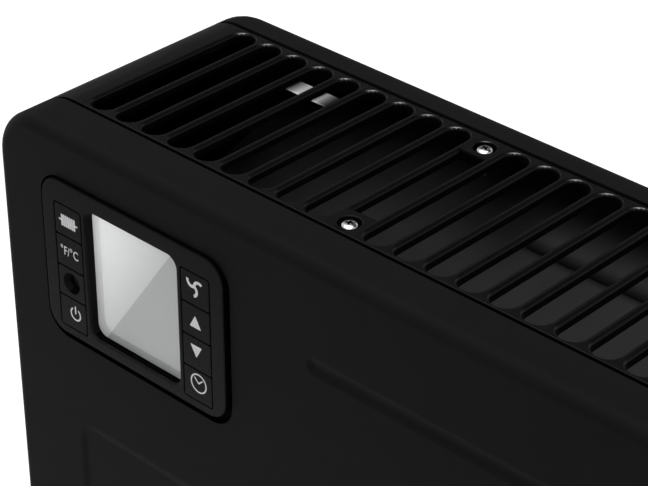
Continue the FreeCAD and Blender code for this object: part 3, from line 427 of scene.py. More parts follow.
TEXTURED = dict(shades=greys(0.0015, 0.0135), rough=(0.5, 0.6), depth=0.0002, patch=2200, specular=0.04)
LOOKS = {
    "casing_paint": dict(shades=greys(0.0066, 0.0074), rough=(0.5, 0.56), grain=2600, specular=0.025),
    "frame_plastic": dict(shades=greys(0.0018, 0.0024), rough=(0.28, 0.32), grain=1800, depth=0.000005,
                          specular=0.085),
    "bezel_plastic": TEXTURED,
    "key_plastic": TEXTURED,
    "clear_lens": dict(shades=((0.97, 0.98, 0.98), (0.98, 0.99, 0.99)), rough=(0.01, 0.02), grain=300,
                       depth=0.000001, Transmission_Weight=1.0, IOR=1.49),
    "display_grey": dict(shades=((0.33, 0.336, 0.333), (0.34, 0.346, 0.343)), rough=(0.3, 0.36),
                         grain=3000, depth=0.00001),
    "dark_window": dict(shades=((0.0008, 0.0006, 0.0006), (0.0014, 0.001, 0.001)), rough=(0.1, 0.14),
                        grain=400, depth=0.000005, specular=0.01),
    "plated_steel": dict(shades=greys(0.44, 0.52), rough=(0.16, 0.24), grain=1200, depth=0.00001, patch=300,
                         Metallic=1.0),
    "deflector_sheet": dict(shades=greys(0.033, 0.04), rough=(0.4, 0.46), grain=900, specular=0.015),
    "bright_plate": dict(shades=greys(0.86, 0.9), rough=(0.35, 0.45), grain=700, patch=200),
    "fin_aluminium": dict(shades=greys(0.5, 0.6), rough=(0.3, 0.4), grain=600, patch=120, Metallic=1.0),
    "sheath_steel": dict(shades=greys(0.34, 0.42), rough=(0.3, 0.4), grain=900, depth=0.00001, patch=150,
                         Metallic=1.0),
    "motor_steel": dict(shades=greys(0.28, 0.36), rough=(0.35, 0.45), grain=800, patch=150, Metallic=1.0),
    "bearing_bronze": dict(shades=((0.44, 0.3, 0.14), (0.54, 0.38, 0.2)), rough=(0.35, 0.45), depth=0.00003,
                           patch=400, Metallic=1.0),
    "porcelain": dict(shades=((0.74, 0.72, 0.68), (0.8, 0.78, 0.74)), rough=(0.4, 0.5), grain=1200,
                      patch=200),
    "board": dict(shades=((0.02, 0.09, 0.04), (0.03, 0.13, 0.055)), rough=(0.3, 0.4), grain=500,
                  depth=0.00003, patch=220),
    "switch_plastic": dict(shades=greys(0.02, 0.028), rough=(0.4, 0.5)),
    "foot_plastic": dict(shades=greys(0.005, 0.0065), rough=(0.42, 0.5), depth=0.00003, specular=0.075),
    "pad_rubber": dict(shades=greys(0.012, 0.018), rough=(0.7, 0.8), grain=900, depth=0.00006, specular=0.1),
    # Painted shade for walls, gaps, recesses and parts in shade, and a paler copy of it as painted light on
    # lit walls
    "painted_shade_black": dict(shades=greys(0.0008, 0.0014), rough=(0.6, 0.7), specular=0.015),
    "painted_lit_grey": dict(shades=greys(0.006, 0.008), rough=(0.6, 0.7), specular=0.025),
    "symbol_print": dict(shades=greys(0.62, 0.74), rough=(0.5, 0.6), grain=1800, patch=700),
}
GLOSS_PATCH = 7
GRAIN_DETAIL = 2.0
NOISE_MIDDLE = (0.3, 0.7)

# Painted shade and light along an axis, on the deflector, the lip and the control panel: where each starts
# and ends, and its values there
SLIT_SHADE = 0.0045
SLIT_BLUR = 0.0005
LEFT_END_SHADE = (-0.247, -0.195, 0.0, 0.58)
RIGHTWARD_LIGHT = (-0.195, -0.08, 0.0, 0.42)
REAR_SHADE = (0.012, 0.026, 1.0, 0.45)
BAND_BEHIND_SLIT = (0.0285, 0.042, 1.4, 0.6)
WITHIN_SLIT = (-0.144, -0.134, 0.0, 1.0)
BEHIND_SLIT = (SLIT_Y - SLIT_BLUR, SLIT_Y + SLIT_BLUR, 0.0, 1.0)
NEAR_SLIT = (SLIT_Y - SLIT_SHADE, SLIT_Y, 1.0, 0.3)
FAR_SLIT = (SLIT_Y, SLIT_Y + SLIT_SHADE, 0.2, 1.0)
LIP_FADE = 0.007
LIP_GLINT_RISE = (LIP_SIDES[0], LIP_SIDES[0] + LIP_FADE, 0.03, 1.0)
LIP_GLINT_FALL = (LIP_SIDES[1] - LIP_FADE, LIP_SIDES[1], 1.0, 0.03)
LOW_EDGE_LIGHT = (*BEZEL_SIDES[2:], 1.5, 0.5)

# Painted glare on the display: a point on the glare's edge, the way across it, and the glare along that way;
# the display also has a painted glow
GLARE_POINT = (-0.2179, 0, 0.4133)
GLARE_WAY = (-0.815, 0, 0.579)
GLARE_RAMP = (0.0, 0.029, 0.3, 1.0)
GLARE_EDGE = (-0.0001, 0.0001, 0.0, 1.0)
GLARE_PALE = (0.88, 0.88, 0.88, 1)
DISPLAY_PAINTED_GLOW = 0.29


def nodes_of(material):
    """A material's node tree and its shader."""
    material.use_nodes = True
    tree = material.node_tree
    return tree, tree.nodes["Principled BSDF"]


def add_node(tree, kind, **inputs):
    """New node with values on its inputs."""
    made = tree.nodes.new(kind)
    for name, value in inputs.items():
        made.inputs[name.replace("_", " ")].default_value = value
    return made


def object_place(tree):
    """The object's own coordinates."""
    return tree.nodes.new("ShaderNodeTexCoord").outputs["Object"]


def object_axes(tree):
    """The object's own X, Y and Z."""
    split = tree.nodes.new("ShaderNodeSeparateXYZ")
    tree.links.new(object_place(tree), split.inputs["Vector"])
    return split.outputs["X"], split.outputs["Y"], split.outputs["Z"]


def noise(tree, scale, detail=4.0, roughness=0.55):
    """Noise in the object's own coordinates."""
    made = add_node(tree, "ShaderNodeTexNoise", Scale=scale, Detail=detail, Roughness=roughness)
    tree.links.new(object_place(tree), made.inputs["Vector"])
    return made.outputs["Fac"]


def graded(tree, source, start, end, low, high):
    """Value that runs from low to high along a stretch of another."""
    made = add_node(tree, "ShaderNodeMapRange", From_Min=start, From_Max=end, To_Min=low, To_Max=high)
    tree.links.new(source, made.inputs["Value"])
    return made.outputs["Result"]


def spread(tree, source, low, high):
    """Map the middle of a noise to a range."""
    return graded(tree, source, *NOISE_MIDDLE, low, high)


def shade_range(tree, source, low, high):
    """Blend between two colours along a noise."""
    made = tree.nodes.new("ShaderNodeMix")
    made.data_type = "RGBA"
    made.inputs["A"].default_value = (*low, 1)
    made.inputs["B"].default_value = (*high, 1)
    tree.links.new(spread(tree, source, 0, 1), made.inputs["Factor"])
    return made.outputs["Result"]


def joined(tree, operation, first, second):
    """Result of two values."""
    made = tree.nodes.new("ShaderNodeMath")
    made.operation = operation
    tree.links.new(first, made.inputs[0])
    tree.links.new(second, made.inputs[1])
    return made.outputs["Value"]


def on_vector(tree, operation, source, value):
    """Node that sets a vector against a fixed one."""
    made = tree.nodes.new("ShaderNodeVectorMath")
    made.operation = operation
    made.inputs[1].default_value = value
    tree.links.new(source, made.inputs[0])
    return made


def switched(tree, amount, first, second):
    """First value where the amount is 0, second where it is 1."""
    made = tree.nodes.new("ShaderNodeMix")
    for socket, source in zip(made.inputs[:1] + made.inputs[2:4], (amount, first, second)):
        tree.links.new(source, socket)
    return made.outputs[0]


def tinted(tree, shader, amount):
    """Multiply the base colour by a value."""
    made = tree.nodes.new("ShaderNodeVectorMath")
    made.operation = "SCALE"
    tree.links.new(shader.inputs["Base Color"].links[0].from_socket, made.inputs["Vector"])
    tree.links.new(amount, made.inputs["Scale"])
    tree.links.new(made.outputs["Vector"], shader.inputs["Base Color"])


def grained(name, shades, rough, grain=1500, depth=0.00002, patch=60, specular=0.5, **sockets):
    """Finish with cloudy colour, uneven gloss and a fine grain that stands up by its depth."""
    material = bpy.data.materials.new(name)
    tree, shader = nodes_of(material)
    shader.inputs["Specular IOR Level"].default_value = specular
    for socket, value in sockets.items():
        shader.inputs[socket.replace("_", " ")].default_value = value
    tree.links.new(shade_range(tree, noise(tree, patch), *shades), shader.inputs["Base Color"])
    tree.links.new(spread(tree, noise(tree, patch * GLOSS_PATCH), *rough), shader.inputs["Roughness"])
    bump = add_node(tree, "ShaderNodeBump", Strength=1.0, Distance=depth)
    tree.links.new(noise(tree, grain, GRAIN_DETAIL), bump.inputs["Height"])
    tree.links.new(bump.outputs["Normal"], shader.inputs["Normal"])
    return material


def variant(source, name):
    """Copy of a finish under a name of its own; gives its node tree and its shader."""
    finishes[name] = finishes[source].copy()
    finishes[name].name = name
    return nodes_of(finishes[name])


def paint_shade_on_deflector():
    """Deflector sheet with painted shade, darker towards the control side and the rear, with painted light
    just behind its slit and painted shade along it.
    """
    tree, shader = variant("deflector_sheet", "deflector_painted_shade")
    across, depth, _ = object_axes(tree)
    shade_across = joined(tree, "ADD", graded(tree, across, *LEFT_END_SHADE), graded(tree, across, *RIGHTWARD_LIGHT))
    beyond = joined(tree, "MULTIPLY", graded(tree, depth, *BAND_BEHIND_SLIT), graded(tree, depth, *FAR_SLIT))
    behind = graded(tree, depth, *BEHIND_SLIT)
    along_slit = switched(tree, behind, graded(tree, depth, *NEAR_SLIT), beyond)
    within = graded(tree, across, *WITHIN_SLIT)
    rear = switched(tree, within, graded(tree, depth, *REAR_SHADE), along_slit)
    tinted(tree, shader, joined(tree, "MULTIPLY", shade_across, rear))


def paint_light_low(name):
    """Paint light on a finish of the control panel: paler towards its lower edge and darker towards its
    upper one.
    """
    tree, shader = nodes_of(finishes[name])
    tinted(tree, shader, graded(tree, object_axes(tree)[2], *LOW_EDGE_LIGHT))


def paint_glint_on_lip():
    """Painted highlight: darken the bright plate towards both ends of its lip, so that it fades like a
    glint.
    """
    tree, shader = nodes_of(finishes["bright_plate"])
    across = object_axes(tree)[0]
    middle = joined(tree, "MULTIPLY", graded(tree, across, *LIP_GLINT_RISE), graded(tree, across, *LIP_GLINT_FALL))
    tinted(tree, shader, joined(tree, "MULTIPLY", middle, middle))


def paint_glare_on_display():
    """Display with a painted reflection: a pale glare on one side of a slanting edge, stronger away from it,
    and a painted glow all over.
    """
    tree, shader = variant("display_grey", "display_painted_glare")
    offset = on_vector(tree, "SUBTRACT", object_place(tree), GLARE_POINT).outputs["Vector"]
    across = on_vector(tree, "DOT_PRODUCT", offset, GLARE_WAY).outputs["Value"]
    blend = tree.nodes.new("ShaderNodeMix")
    blend.data_type = "RGBA"
    blend.inputs["B"].default_value = GLARE_PALE
    glare = joined(tree, "MULTIPLY", graded(tree, across, *GLARE_RAMP), graded(tree, across, *GLARE_EDGE))
    tree.links.new(glare, blend.inputs["Factor"])
    tree.links.new(shader.inputs["Base Color"].links[0].from_socket, blend.inputs["A"])
    for socket in ("Base Color", "Emission Color"):
        tree.links.new(blend.outputs["Result"], shader.inputs[socket])
    shader.inputs["Emission Strength"].default_value = DISPLAY_PAINTED_GLOW


finishes = {name: grained(name, **look) for name, look in LOOKS.items()}
paint_shade_on_deflector()
paint_light_low("bezel_plastic")
paint_light_low("key_plastic")
paint_glint_on_lip()
paint_glare_on_display()


# Casing shells

def shell_skin(bm, bend):
    """Walls and rolled edge of a shell; gives the loop round its flat face."""
    corners = rectangle(-SIDE, SIDE, RISE, TOP, CORNER)
    return rounded_block(bm, corners, CORNER, bend, FACE, RIM, CORNER_STEPS, BEND_STEPS)[0]


def pressed(bm, corners, radius, slope, depth, start=math.pi):
    """Form pressed into the face: an S-shaped slope and a flat bottom; gives the loop of its edge."""
    loops = []
    for step in range(PRESS_STEPS + 1):
        share = step / PRESS_STEPS
        drop = depth * (1 - math.cos(math.pi * share)) / 2
        loops.append(outline(bm, corners, radius - slope * share, FACE - drop, CORNER_STEPS, start))
    loft(bm, loops)
    plate(bm, [loops[-1]])
    return loops[0]


def thicken(bm):
    """Give a skin that looks outwards the sheet's thickness, inwards."""
    face_outwards(bm, (0, 0, 1))
    bmesh.ops.solidify(bm, geom=bm.faces[:], thickness=SHEET)


def in_opening(face):
    """Whether a face is on the wall of the hole for the control panel."""
    middle = face.calc_center_median()
    upright = abs(face.normal.z) < UPRIGHT
    inside = abs(middle.x) < SIDE - CORNER and RISE + CORNER < middle.y < TOP - BEND
    return upright and inside and abs(middle.z - FACE + SHEET / 2) < SHEET / 4


def front_shell():
    bm = bmesh.new()
    edge = shell_skin(bm, BEND)
    sides = [side + shift for side, shift in zip(BEZEL_SIDES, OPENING_SHIFTS)]
    hole = outline(bm, rectangle(*sides, OPENING_CORNER), OPENING_CORNER, FACE, CORNER_STEPS)
    level = TOP - GROOVE_DROP
    reach = SIDE - GROOVE_INSET
    groove = pressed(bm, [(-reach, level), (reach, level)], GROOVE_HALF + GROOVE_SLOPE / 2,
                     GROOVE_SLOPE, GROOVE_DEPTH, start=math.pi / 2)
    corners = rectangle(FIELD_INSET - SIDE, SIDE - FIELD_INSET, FIELD_LOW, FIELD_HIGH, FIELD_CORNER)
    field = pressed(bm, corners, FIELD_CORNER, FIELD_SLOPE, FIELD_DEPTH)
    plate(bm, [edge, hole, groove, field])
    thicken(bm)
    # Painted shade: the wall of the hole for the control panel gets the near-black finish
    for face in bm.faces:
        face.material_index = in_opening(face)
    bm.transform(FRONT_FACING)
    piece("front_shell", bm, "casing_paint", nodes=["front_panel"], looks=["casing_paint", "painted_shade_black"])


def rear_shell():
    bm = bmesh.new()
    loops = [shell_skin(bm, REAR_BEND)]
    reach = LOUVRE_REACH - LOUVRE_HALF
    for number in range(LOUVRE_COUNT):
        across = (number - (LOUVRE_COUNT - 1) / 2) * LOUVRE_PITCH
        ends = [(across, LOUVRE_LEVEL - reach), (across, LOUVRE_LEVEL + reach)]
        loops.append(outline(bm, ends, LOUVRE_HALF, FACE, LOUVRE_STEPS))
    for side in (-1, 1):
        for level in WALL_HOLE_LEVELS:
            loops.append(ring(bm, (side * WALL_HOLE_X, level), WALL_HOLE_RADIUS, FACE, WALL_HOLE_STEPS))
    loops.append(ring(bm, (-gland_middle.x, gland_middle.z), GLAND_RADIUS, FACE, GLAND_HOLE_STEPS))
    plate(bm, loops)
    thicken(bm)
    bm.transform(REAR_FACING)
    piece("rear_shell", bm, "casing_paint", nodes=["rear_panel"])


# Middle frame

def band_section(bm):
    """Cross-section of the frame's wall at the left end of the top: skin, stepped lips and inner face."""
    lip = band_high.y
    half = [(BAND - FRAME_EDGE, 0), (BAND - FRAME_EDGE_MIDDLE, FRAME_EDGE_MIDDLE), (BAND, FRAME_EDGE),
            (BAND, LAP), (lip, LAP), (lip, WALL)]
    points = half + [(-across, down) for across, down in reversed(half)]
    return straight_loop(bm, [(CORNER - SIDE, across, TOP - down) for across, down in points])


def is_flat_edge(edge):
    """Long edge of the section: across the skin or across the inner face."""
    return edge.calc_length() > BAND


def square_loop(bm, left, right, half, level):
    """Loop of four edges across the band."""
    corners = ((left, -half), (right, -half), (right, half), (left, half))
    return straight_loop(bm, [(*corner, level) for corner in corners])


def flat_ends(bm, start):
    """Plain skin and inner face between the corners and the row of slots."""
    for level, half in FLAT_FACES:
        for left, right in ((CORNER - SIDE, start), (-start, SIDE - CORNER)):
            plate(bm, [square_loop(bm, left, right, half, level)])


def slot_row(bm, start, half, reach, rounding, tuck, pitch, count):
    """Row of round-ended slots in cells of the top, with mouths that are rounded less at their ends."""
    known = set(bm.verts) | set(bm.edges) | set(bm.faces)
    across = start + pitch / 2

    def section(into, level):
        along = reach - half - tuck * into
        return outline(bm, [(across, -along), (across, along)], half + rounding * into, level, SLOT_STEPS)
    loops = [section(into, TOP - rounding * down) for into, down in quarter(MOUTH_STEPS)]
    loops.append(section(0, TOP - WALL))
    loft(bm, loops)
    for (level, width), loop in zip(FLAT_FACES, (loops[0], loops[-1])):
        plate(bm, [square_loop(bm, start, start + pitch, width, level), loop])
    slot = [item for seq in (bm.verts, bm.edges, bm.faces) for item in seq if item not in known]
    bmesh.ops.spin(bm, geom=slot, cent=(0, 0, 0), axis=(0, 0, 1), dvec=(pitch, 0, 0), angle=0,
                   steps=count - 1, use_duplicate=True)


def band(bm, leg_end, slots):
    """Band across the top and down both sides, with a row of slots in its top."""
    section = band_section(bm)
    bent = bmesh.ops.spin(bm, geom=section, cent=(CORNER - SIDE, 0, TOP - CORNER), axis=(0, 1, 0),
                          angle=math.radians(-90), steps=CORNER_STEPS)
    last = of_kind(bent["geom_last"], bmesh.types.BMEdge)
    leg = drawn_out(bm, last, (0, 0, leg_end - (TOP - CORNER)))
    bmesh.ops.edgeloop_fill(bm, edges=leg)
    everything = bm.verts[:] + bm.edges[:] + bm.faces[:]
    bmesh.ops.mirror(bm, geom=everything, matrix=Matrix(), merge_dist=MERGE, axis="X")
    pitch, count = slots["pitch"], slots["count"]
    start = -pitch * count / 2
    plain = start - CORNER + SIDE
    rims = [edge for edge in section if not is_flat_edge(edge)]
    for length, steps in ((plain, 1), (pitch, count), (plain, 1)):
        rims = drawn_out(bm, rims, (length, 0, 0), steps)
    flat_ends(bm, start)
    slot_row(bm, start, **slots)


def screw_places(node):
    """Places of four screws that stand at the corners of their node's box."""
    low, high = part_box(node)
    reach = Vector((SCREW_HEAD, SCREW_HEAD, 0))
    low, high = low + reach, high - reach
    return [(across, along) for across in (low.x, high.x) for along in (low.y, high.y)]


def screw_seats(bm):
    """Webs across the ends of two slots, each with a pocket for a screw head and the seat at its foot."""
    top = TOP - WEB_DROP
    seat = TOP - SEAT_DROP
    for place in screw_places("grille_screws"):
        across, along = place
        inner, outer = sorted(math.copysign(reach, along) for reach in (SEAT_IN, WEB_REACH))
        corners = rectangle(across - WEB_HALF, across + WEB_HALF, inner, outer, WEB_CORNER)
        known = set(bm.faces)
        web, web_foot = rounded_block(bm, corners, WEB_CORNER, WEB_EDGE, top, seat - SEAT_THICK)
        # Painted shade: the walls and rounded edge of each web get the near-black finish
        for face in set(bm.faces) - known:
            face.material_index = 1
        pocket = []
        for into, down in quarter(EDGE_STEPS):
            radius = POCKET_RADIUS + POCKET_EDGE * into
            pocket.append(ring(bm, place, radius, top - POCKET_EDGE * down, POCKET_STEPS))
        pocket.append(ring(bm, place, POCKET_RADIUS, seat, POCKET_STEPS))
        loft(bm, pocket)
        plate(bm, [web, pocket[0]])
        plate(bm, [pocket[-1]])
        plate(bm, [web_foot])


def grille_frame():
    bm = bmesh.new()
    band(bm, band_low.z, GRILLE)
    screw_seats(bm)
    close_up(bm)
    piece("grille_moulding", bm, "frame_plastic", nodes=["grille_frame"],
          looks=["frame_plastic", "painted_shade_black"])


def bead(bm, centre, radius, rounding, top, tuck):
    """Part of a ring that follows the rounded mouth of a hole on its rear side."""
    verts = []
    for swell, angles in ((BEAD_PROUD, BEAD_ANGLES), (-BEAD_DEPTH, reversed(BEAD_ANGLES))):
        for angle in angles:
            out = radius + rounding - (rounding + swell) * math.sin(math.radians(angle))
            height = top - rounding + (rounding + swell) * math.cos(math.radians(angle))
            verts.append(bm.verts.new((centre[0] + out, centre[1], height)))
    begin = Matrix.Rotation(math.radians(90 - BEAD_SWEEP / 2), 3, "Z")
    bmesh.ops.rotate(bm, cent=(*centre, top), matrix=begin, verts=verts)
    known = set(bm.verts) - set(verts)
    bmesh.ops.spin(bm, geom=[bm.faces.new(verts)], cent=(*centre, top), axis=(0, 0, 1),
                   angle=math.radians(BEAD_SWEEP), steps=BEAD_STEPS)
    for vert in set(bm.verts) - known:
        height = (vert.co.z - top + rounding) / rounding
        vert.co.y -= tuck * (1 - math.sqrt(1 - min(max(height, 0), 1) ** 2))


def rim_beads():
    """Polished beads round the rear ends of the slots and of the rear screw pockets."""
    bm = bmesh.new()
    places = screw_places("grille_screws")
    for number in range(SLOT_COUNT):
        across = (number - (SLOT_COUNT - 1) / 2) * SLOT_PITCH
        if all(abs(across - place[0]) > SLOT_HALF for place in places):
            bead(bm, (across, SLOT_REACH - SLOT_HALF), SLOT_HALF, SLOT_ROUND, TOP, SLOT_TUCK)
    for place in places:
        if place[1] > 0:
            bead(bm, place, POCKET_RADIUS, POCKET_EDGE, TOP - WEB_DROP, 0)
    close_up(bm)
    return piece("slot_beads", bm, "frame_plastic")


def bottom_tray():
    """The same band upside down, with the intake slots."""
    bm = bmesh.new()
    band(bm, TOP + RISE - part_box("bottom_tray")[1].z, INTAKE)
    bm.transform(Matrix.Translation((0, 0, TOP + RISE)) @ Matrix.Scale(-1, 4, (0, 0, 1)))
    close_up(bm)
    piece("bottom_moulding", bm, "frame_plastic", nodes=["bottom_tray"])


# Feet, pads and gland

def foot(node):
    """Moulded foot with sloping ends, rounded all over, and two screw wells from below."""
    low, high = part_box(node)
    bm = bmesh.new()
    half = FOOT_NECK / 2
    points = [(low.y, low.z), (high.y, low.z), (high.y, FOOT_TOE), (half, high.z), (-half, high.z),
              (low.y, FOOT_TOE)]
    verts = [bm.verts.new((low.x, *point)) for point in points]
    side = bmesh.ops.contextual_create(bm, geom=verts)["faces"]
    grown = bmesh.ops.extrude_face_region(bm, geom=side)["geom"]
    bmesh.ops.translate(bm, vec=(high.x - low.x, 0, 0), verts=of_kind(grown, bmesh.types.BMVert))
    close_up(bm)
    across = [edge for edge in bm.edges if abs(edge.verts[0].co.x - edge.verts[1].co.x) > FOOT_EDGE]
    raised = [edge for edge in across if edge.verts[0].co.z > low.z + FOOT_EDGE]
    round_edges(bm, raised, FOOT_ROUND, FOOT_ROUND_STEPS)
    rims = [edge for edge in bm.edges if edge.is_manifold and edge.calc_face_angle() > FOOT_RIM_ANGLE]
    round_edges(bm, rims, FOOT_EDGE, EDGE_STEPS)
    wells = bmesh.new()
    well_top = high.z - WELL_DEPTH
    for end in (-1, 1):
        place = Matrix.Translation(((low.x + high.x) / 2, end * WELL_REACH, well_top / 2))
        bmesh.ops.create_cone(wells, cap_ends=True, segments=WELL_STEPS, radius1=WELL_RADIUS,
                              radius2=WELL_RADIUS, depth=well_top, matrix=place)
    made = bmesh.new()
    made.from_mesh(carved(bm, wells))
    piece(node + "_moulding", made, "foot_plastic", nodes=[node])


def foot_pads():
    """Rubber discs whose sole bears on a ring and on its rim."""
    low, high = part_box("foot_pads")
    top = high.z - low.z
    middle = PAD_RADIUS / 2
    sole = [(0, PAD_RING), (middle, PAD_RING), (middle + PAD_RING, 0)]
    rim = [(PAD_RADIUS - PAD_EDGE * into, PAD_EDGE * (1 - down)) for into, down in quarter(EDGE_STEPS)]
    bm = bmesh.new()
    turned(bm, sole + rim + [(PAD_RADIUS, top), (0, top)], PAD_STEPS)
    places = []
    for across in (low.x + PAD_RADIUS, high.x - PAD_RADIUS):
        for along in (low.y + PAD_RADIUS, high.y - PAD_RADIUS):
            places.append(Matrix.Translation((across, along, low.z)))
    piece("foot_pad_set", copies(mesh_of("disc", bm), places), "pad_rubber", nodes=["foot_pads"])


def gland():
    """Collar and nut of the cord inlet, with rounded rims and an open bore."""
    inner, skin, face, outer = gland_low.y, FACE - SHEET, FACE, gland_high.y
    nut = skin - GLAND_FLANGE_THICK
    profile = [(GLAND_BORE, inner), (GLAND_RADIUS, inner), (GLAND_RADIUS, nut), (GLAND_FLANGE, nut),
               (GLAND_FLANGE, skin), (GLAND_RADIUS, skin), (GLAND_RADIUS, face), (GLAND_FLANGE, face)]
    rounds = [(GLAND_EDGE * into, outer - GLAND_EDGE * down) for into, down in quarter(GLAND_EDGE_STEPS)]
    profile += [(GLAND_FLANGE - into, level) for into, level in reversed(rounds)]
    profile += [(GLAND_BORE + into, level) for into, level in rounds]
    bm = bmesh.new()
    turned(bm, profile + profile[:1], GLAND_STEPS)
    bm.transform(Matrix.Translation((gland_middle.x, 0, gland_middle.z)) @ REAR_FACING)
    piece("gland_collar", bm, "foot_plastic", nodes=["cord_gland"])


# Air deflector and bright lip

def deflector():
    """Sloping sheet under the slots, with a long slit whose edges are rolled down, and an apron."""
    low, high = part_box("air_deflector")
    rise, run = high.z - low.z - DEFLECTOR_THICK, high.y - low.y
    slope = math.atan2(rise, run)
    length = math.hypot(rise, run)
    bm = bmesh.new()
    corners = rectangle(low.x, high.x, 0, length, DEFLECTOR_THICK)
    edge = outline(bm, corners, DEFLECTOR_THICK, 0, FINE_STEPS)
    along = (SLIT_Y - low.y) / math.cos(slope)
    ends = [(-SLIT_REACH, along), (SLIT_REACH, along)]
    loops = []
    for into, down in quarter(SLIT_STEPS):
        radius = SLIT_HALF + SLIT_ROLL * into
        loops.append(outline(bm, ends, radius, -SLIT_ROLL * down, SLIT_STEPS, math.pi / 2))
    loft(bm, loops)
    plate(bm, [edge, loops[0]])
    face_outwards(bm, (0, 0, 1))
    sheet = set(bm.faces)
    apron = rectangle(low.x - APRON_REACH, low.x + APRON_LAP, 0, APRON_LENGTH, DEFLECTOR_THICK)
    plate(bm, [outline(bm, apron, DEFLECTOR_THICK, -APRON_DROP, FINE_STEPS)])
    face_up(set(bm.faces) - sheet)
    bmesh.ops.solidify(bm, geom=bm.faces[:], thickness=DEFLECTOR_THICK)
    bm.transform(Matrix.Translation((0, low.y, low.z + DEFLECTOR_THICK)) @ Matrix.Rotation(slope, 4, "X"))
    piece("deflector_sheet", bm, "deflector_sheet", nodes=["air_deflector"], looks=["deflector_painted_shade"])


def cutout_lip():
    """Thin folded flange on top of the cut-out's bracket, lit by an accent lamp of its own; the fading of
    its brightness towards both ends is painted.
    """
    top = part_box("cutout_bracket")[1].z
    corners = rectangle(*LIP_SIDES, LIP_THICK)
    bm = capped_block(corners, LIP_THICK, LIP_EDGE, top + LIP_THICK, top)
    return piece("cutout_lip", bm, "bright_plate")


# Control panel

def key_box(name):
    """Sides of a key's cap: left, right, low and high, and its front."""
    low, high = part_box(name)
    foot_shift, top_shift = KEY_SHIFTS.get(name, (0, 0))
    return (low.x + KEY_SIDE, high.x - KEY_SIDE, low.z + KEY_TRIM + foot_shift,
            high.z - KEY_TRIM + top_shift, -low.y)


def shade_walls(faces, level, lit_side):
    """Paint shade on faces wholly behind a level with the near-black finish, and paint light on the lit side
    with its paler copy.
    """
    for face in faces:
        if all(vert.co.z < level for vert in face.verts):
            face.material_index = 2 if face.calc_center_median().x < lit_side else 1


def key_openings(bm, front, back):
    """Holes for the two columns of keys; gives their loops at the front and at the back."""
    rims = []
    radius = KEY_CORNER + KEY_GAP
    for upper, lower in KEY_COLUMNS:
        left, right, _, high, _ = key_box(upper)
        low = key_box(lower)[2]
        corners = rectangle(left - KEY_GAP, right + KEY_GAP, low - KEY_GAP, high + KEY_GAP, radius)
        rims.append(rounded_hole(bm, corners, radius, KEY_EDGE, front, back, EDGE_STEPS))
    return rims


def receiver_cell(bm, front, back):
    """Fixed cell between the keys, with the receiver's funnel."""
    eye_low, eye_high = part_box("ir_window")
    eye = ((eye_low.x + eye_high.x) / 2, (eye_low.z + eye_high.z) / 2)
    profile = [(EYE_MOUTH + KEY_EDGE, front), (EYE_MOUTH, front - KEY_EDGE / 2),
               (EYE_THROAT, front - EYE_DEPTH), (EYE_THROAT, back)]
    known = set(bm.faces)
    funnel = [ring(bm, eye, radius, level, EYE_STEPS) for radius, level in profile]
    loft(bm, funnel)
    # Painted shade in the receiver's funnel, with painted light on its left side
    shade_walls(set(bm.faces) - known, front - KEY_EDGE / 4, eye[0] - EYE_THROAT / 2)
    left, right, _, below, _ = key_box("power_key")
    above = key_box("units_key")[2]
    joint = key_box("up_key")[2] - key_box("down_key")[3]
    cell = rectangle(left, right, below + joint, above - joint, KEY_CORNER)
    rims = rounded_block(bm, cell, KEY_CORNER, KEY_EDGE, front, back)
    for rim, mouth in zip(rims, (funnel[0], funnel[-1])):
        plate(bm, [rim, mouth])


def control_bezel():
    bm = bmesh.new()
    front, back = -bezel_low.y, -lens_low.y
    corners = rectangle(*BEZEL_SIDES, BEZEL_CORNER)
    rims = [rounded_block(bm, corners, BEZEL_CORNER, BEZEL_EDGE, front, back, CORNER_STEPS)]
    # Painted shade on the bezel's outer walls
    shade_walls(bm.faces, front - BEZEL_EDGE / 2, bezel_low.x)
    outer = set(bm.faces)
    window = rectangle(lens_low.x + WINDOW_LIP, lens_high.x - WINDOW_LIP,
                       lens_low.z + WINDOW_LIP, lens_high.z - WINDOW_LIP, WINDOW_CORNER)
    rims.append(rounded_hole(bm, window, WINDOW_CORNER, WINDOW_EDGE, front, back, CORNER_STEPS))
    # Painted shade on the window's walls, with painted light on its left wall
    shade_walls(set(bm.faces) - outer, front - WINDOW_SHADE_DEPTH, lens_low.x + WINDOW_CORNER / 2)
    rims += key_openings(bm, front, back)
    receiver_cell(bm, front, back)
    for loops in zip(*rims):
        plate(bm, loops)
    close_up(bm)
    bm.transform(FRONT_FACING)
    piece("bezel_moulding", bm, "bezel_plastic", nodes=["control_bezel"],
          looks=["bezel_plastic", "painted_shade_black", "painted_lit_grey"])


def key_cap(name):
    left, right, low, high, front = key_box(name)
    corners = rectangle(left, right, low, high, KEY_CORNER)
    bm = capped_block(corners, KEY_CORNER, KEY_EDGE, front, -lens_low.y)
    bm.transform(FRONT_FACING)
    piece(name + "_cap", bm, "key_plastic", body=name, nodes=[name])


def lens():
    corners = rectangle(lens_low.x, lens_high.x, lens_low.z, lens_high.z, WINDOW_LIP)
    bm = capped_block(corners, WINDOW_LIP, KEY_EDGE, -lens_low.y, -lens_high.y)
    bm.transform(FRONT_FACING)
    piece("display_lens", bm, "clear_lens", nodes=["lcd_lens"])


# Printed symbols, drawn in millimetres round the middle of a key

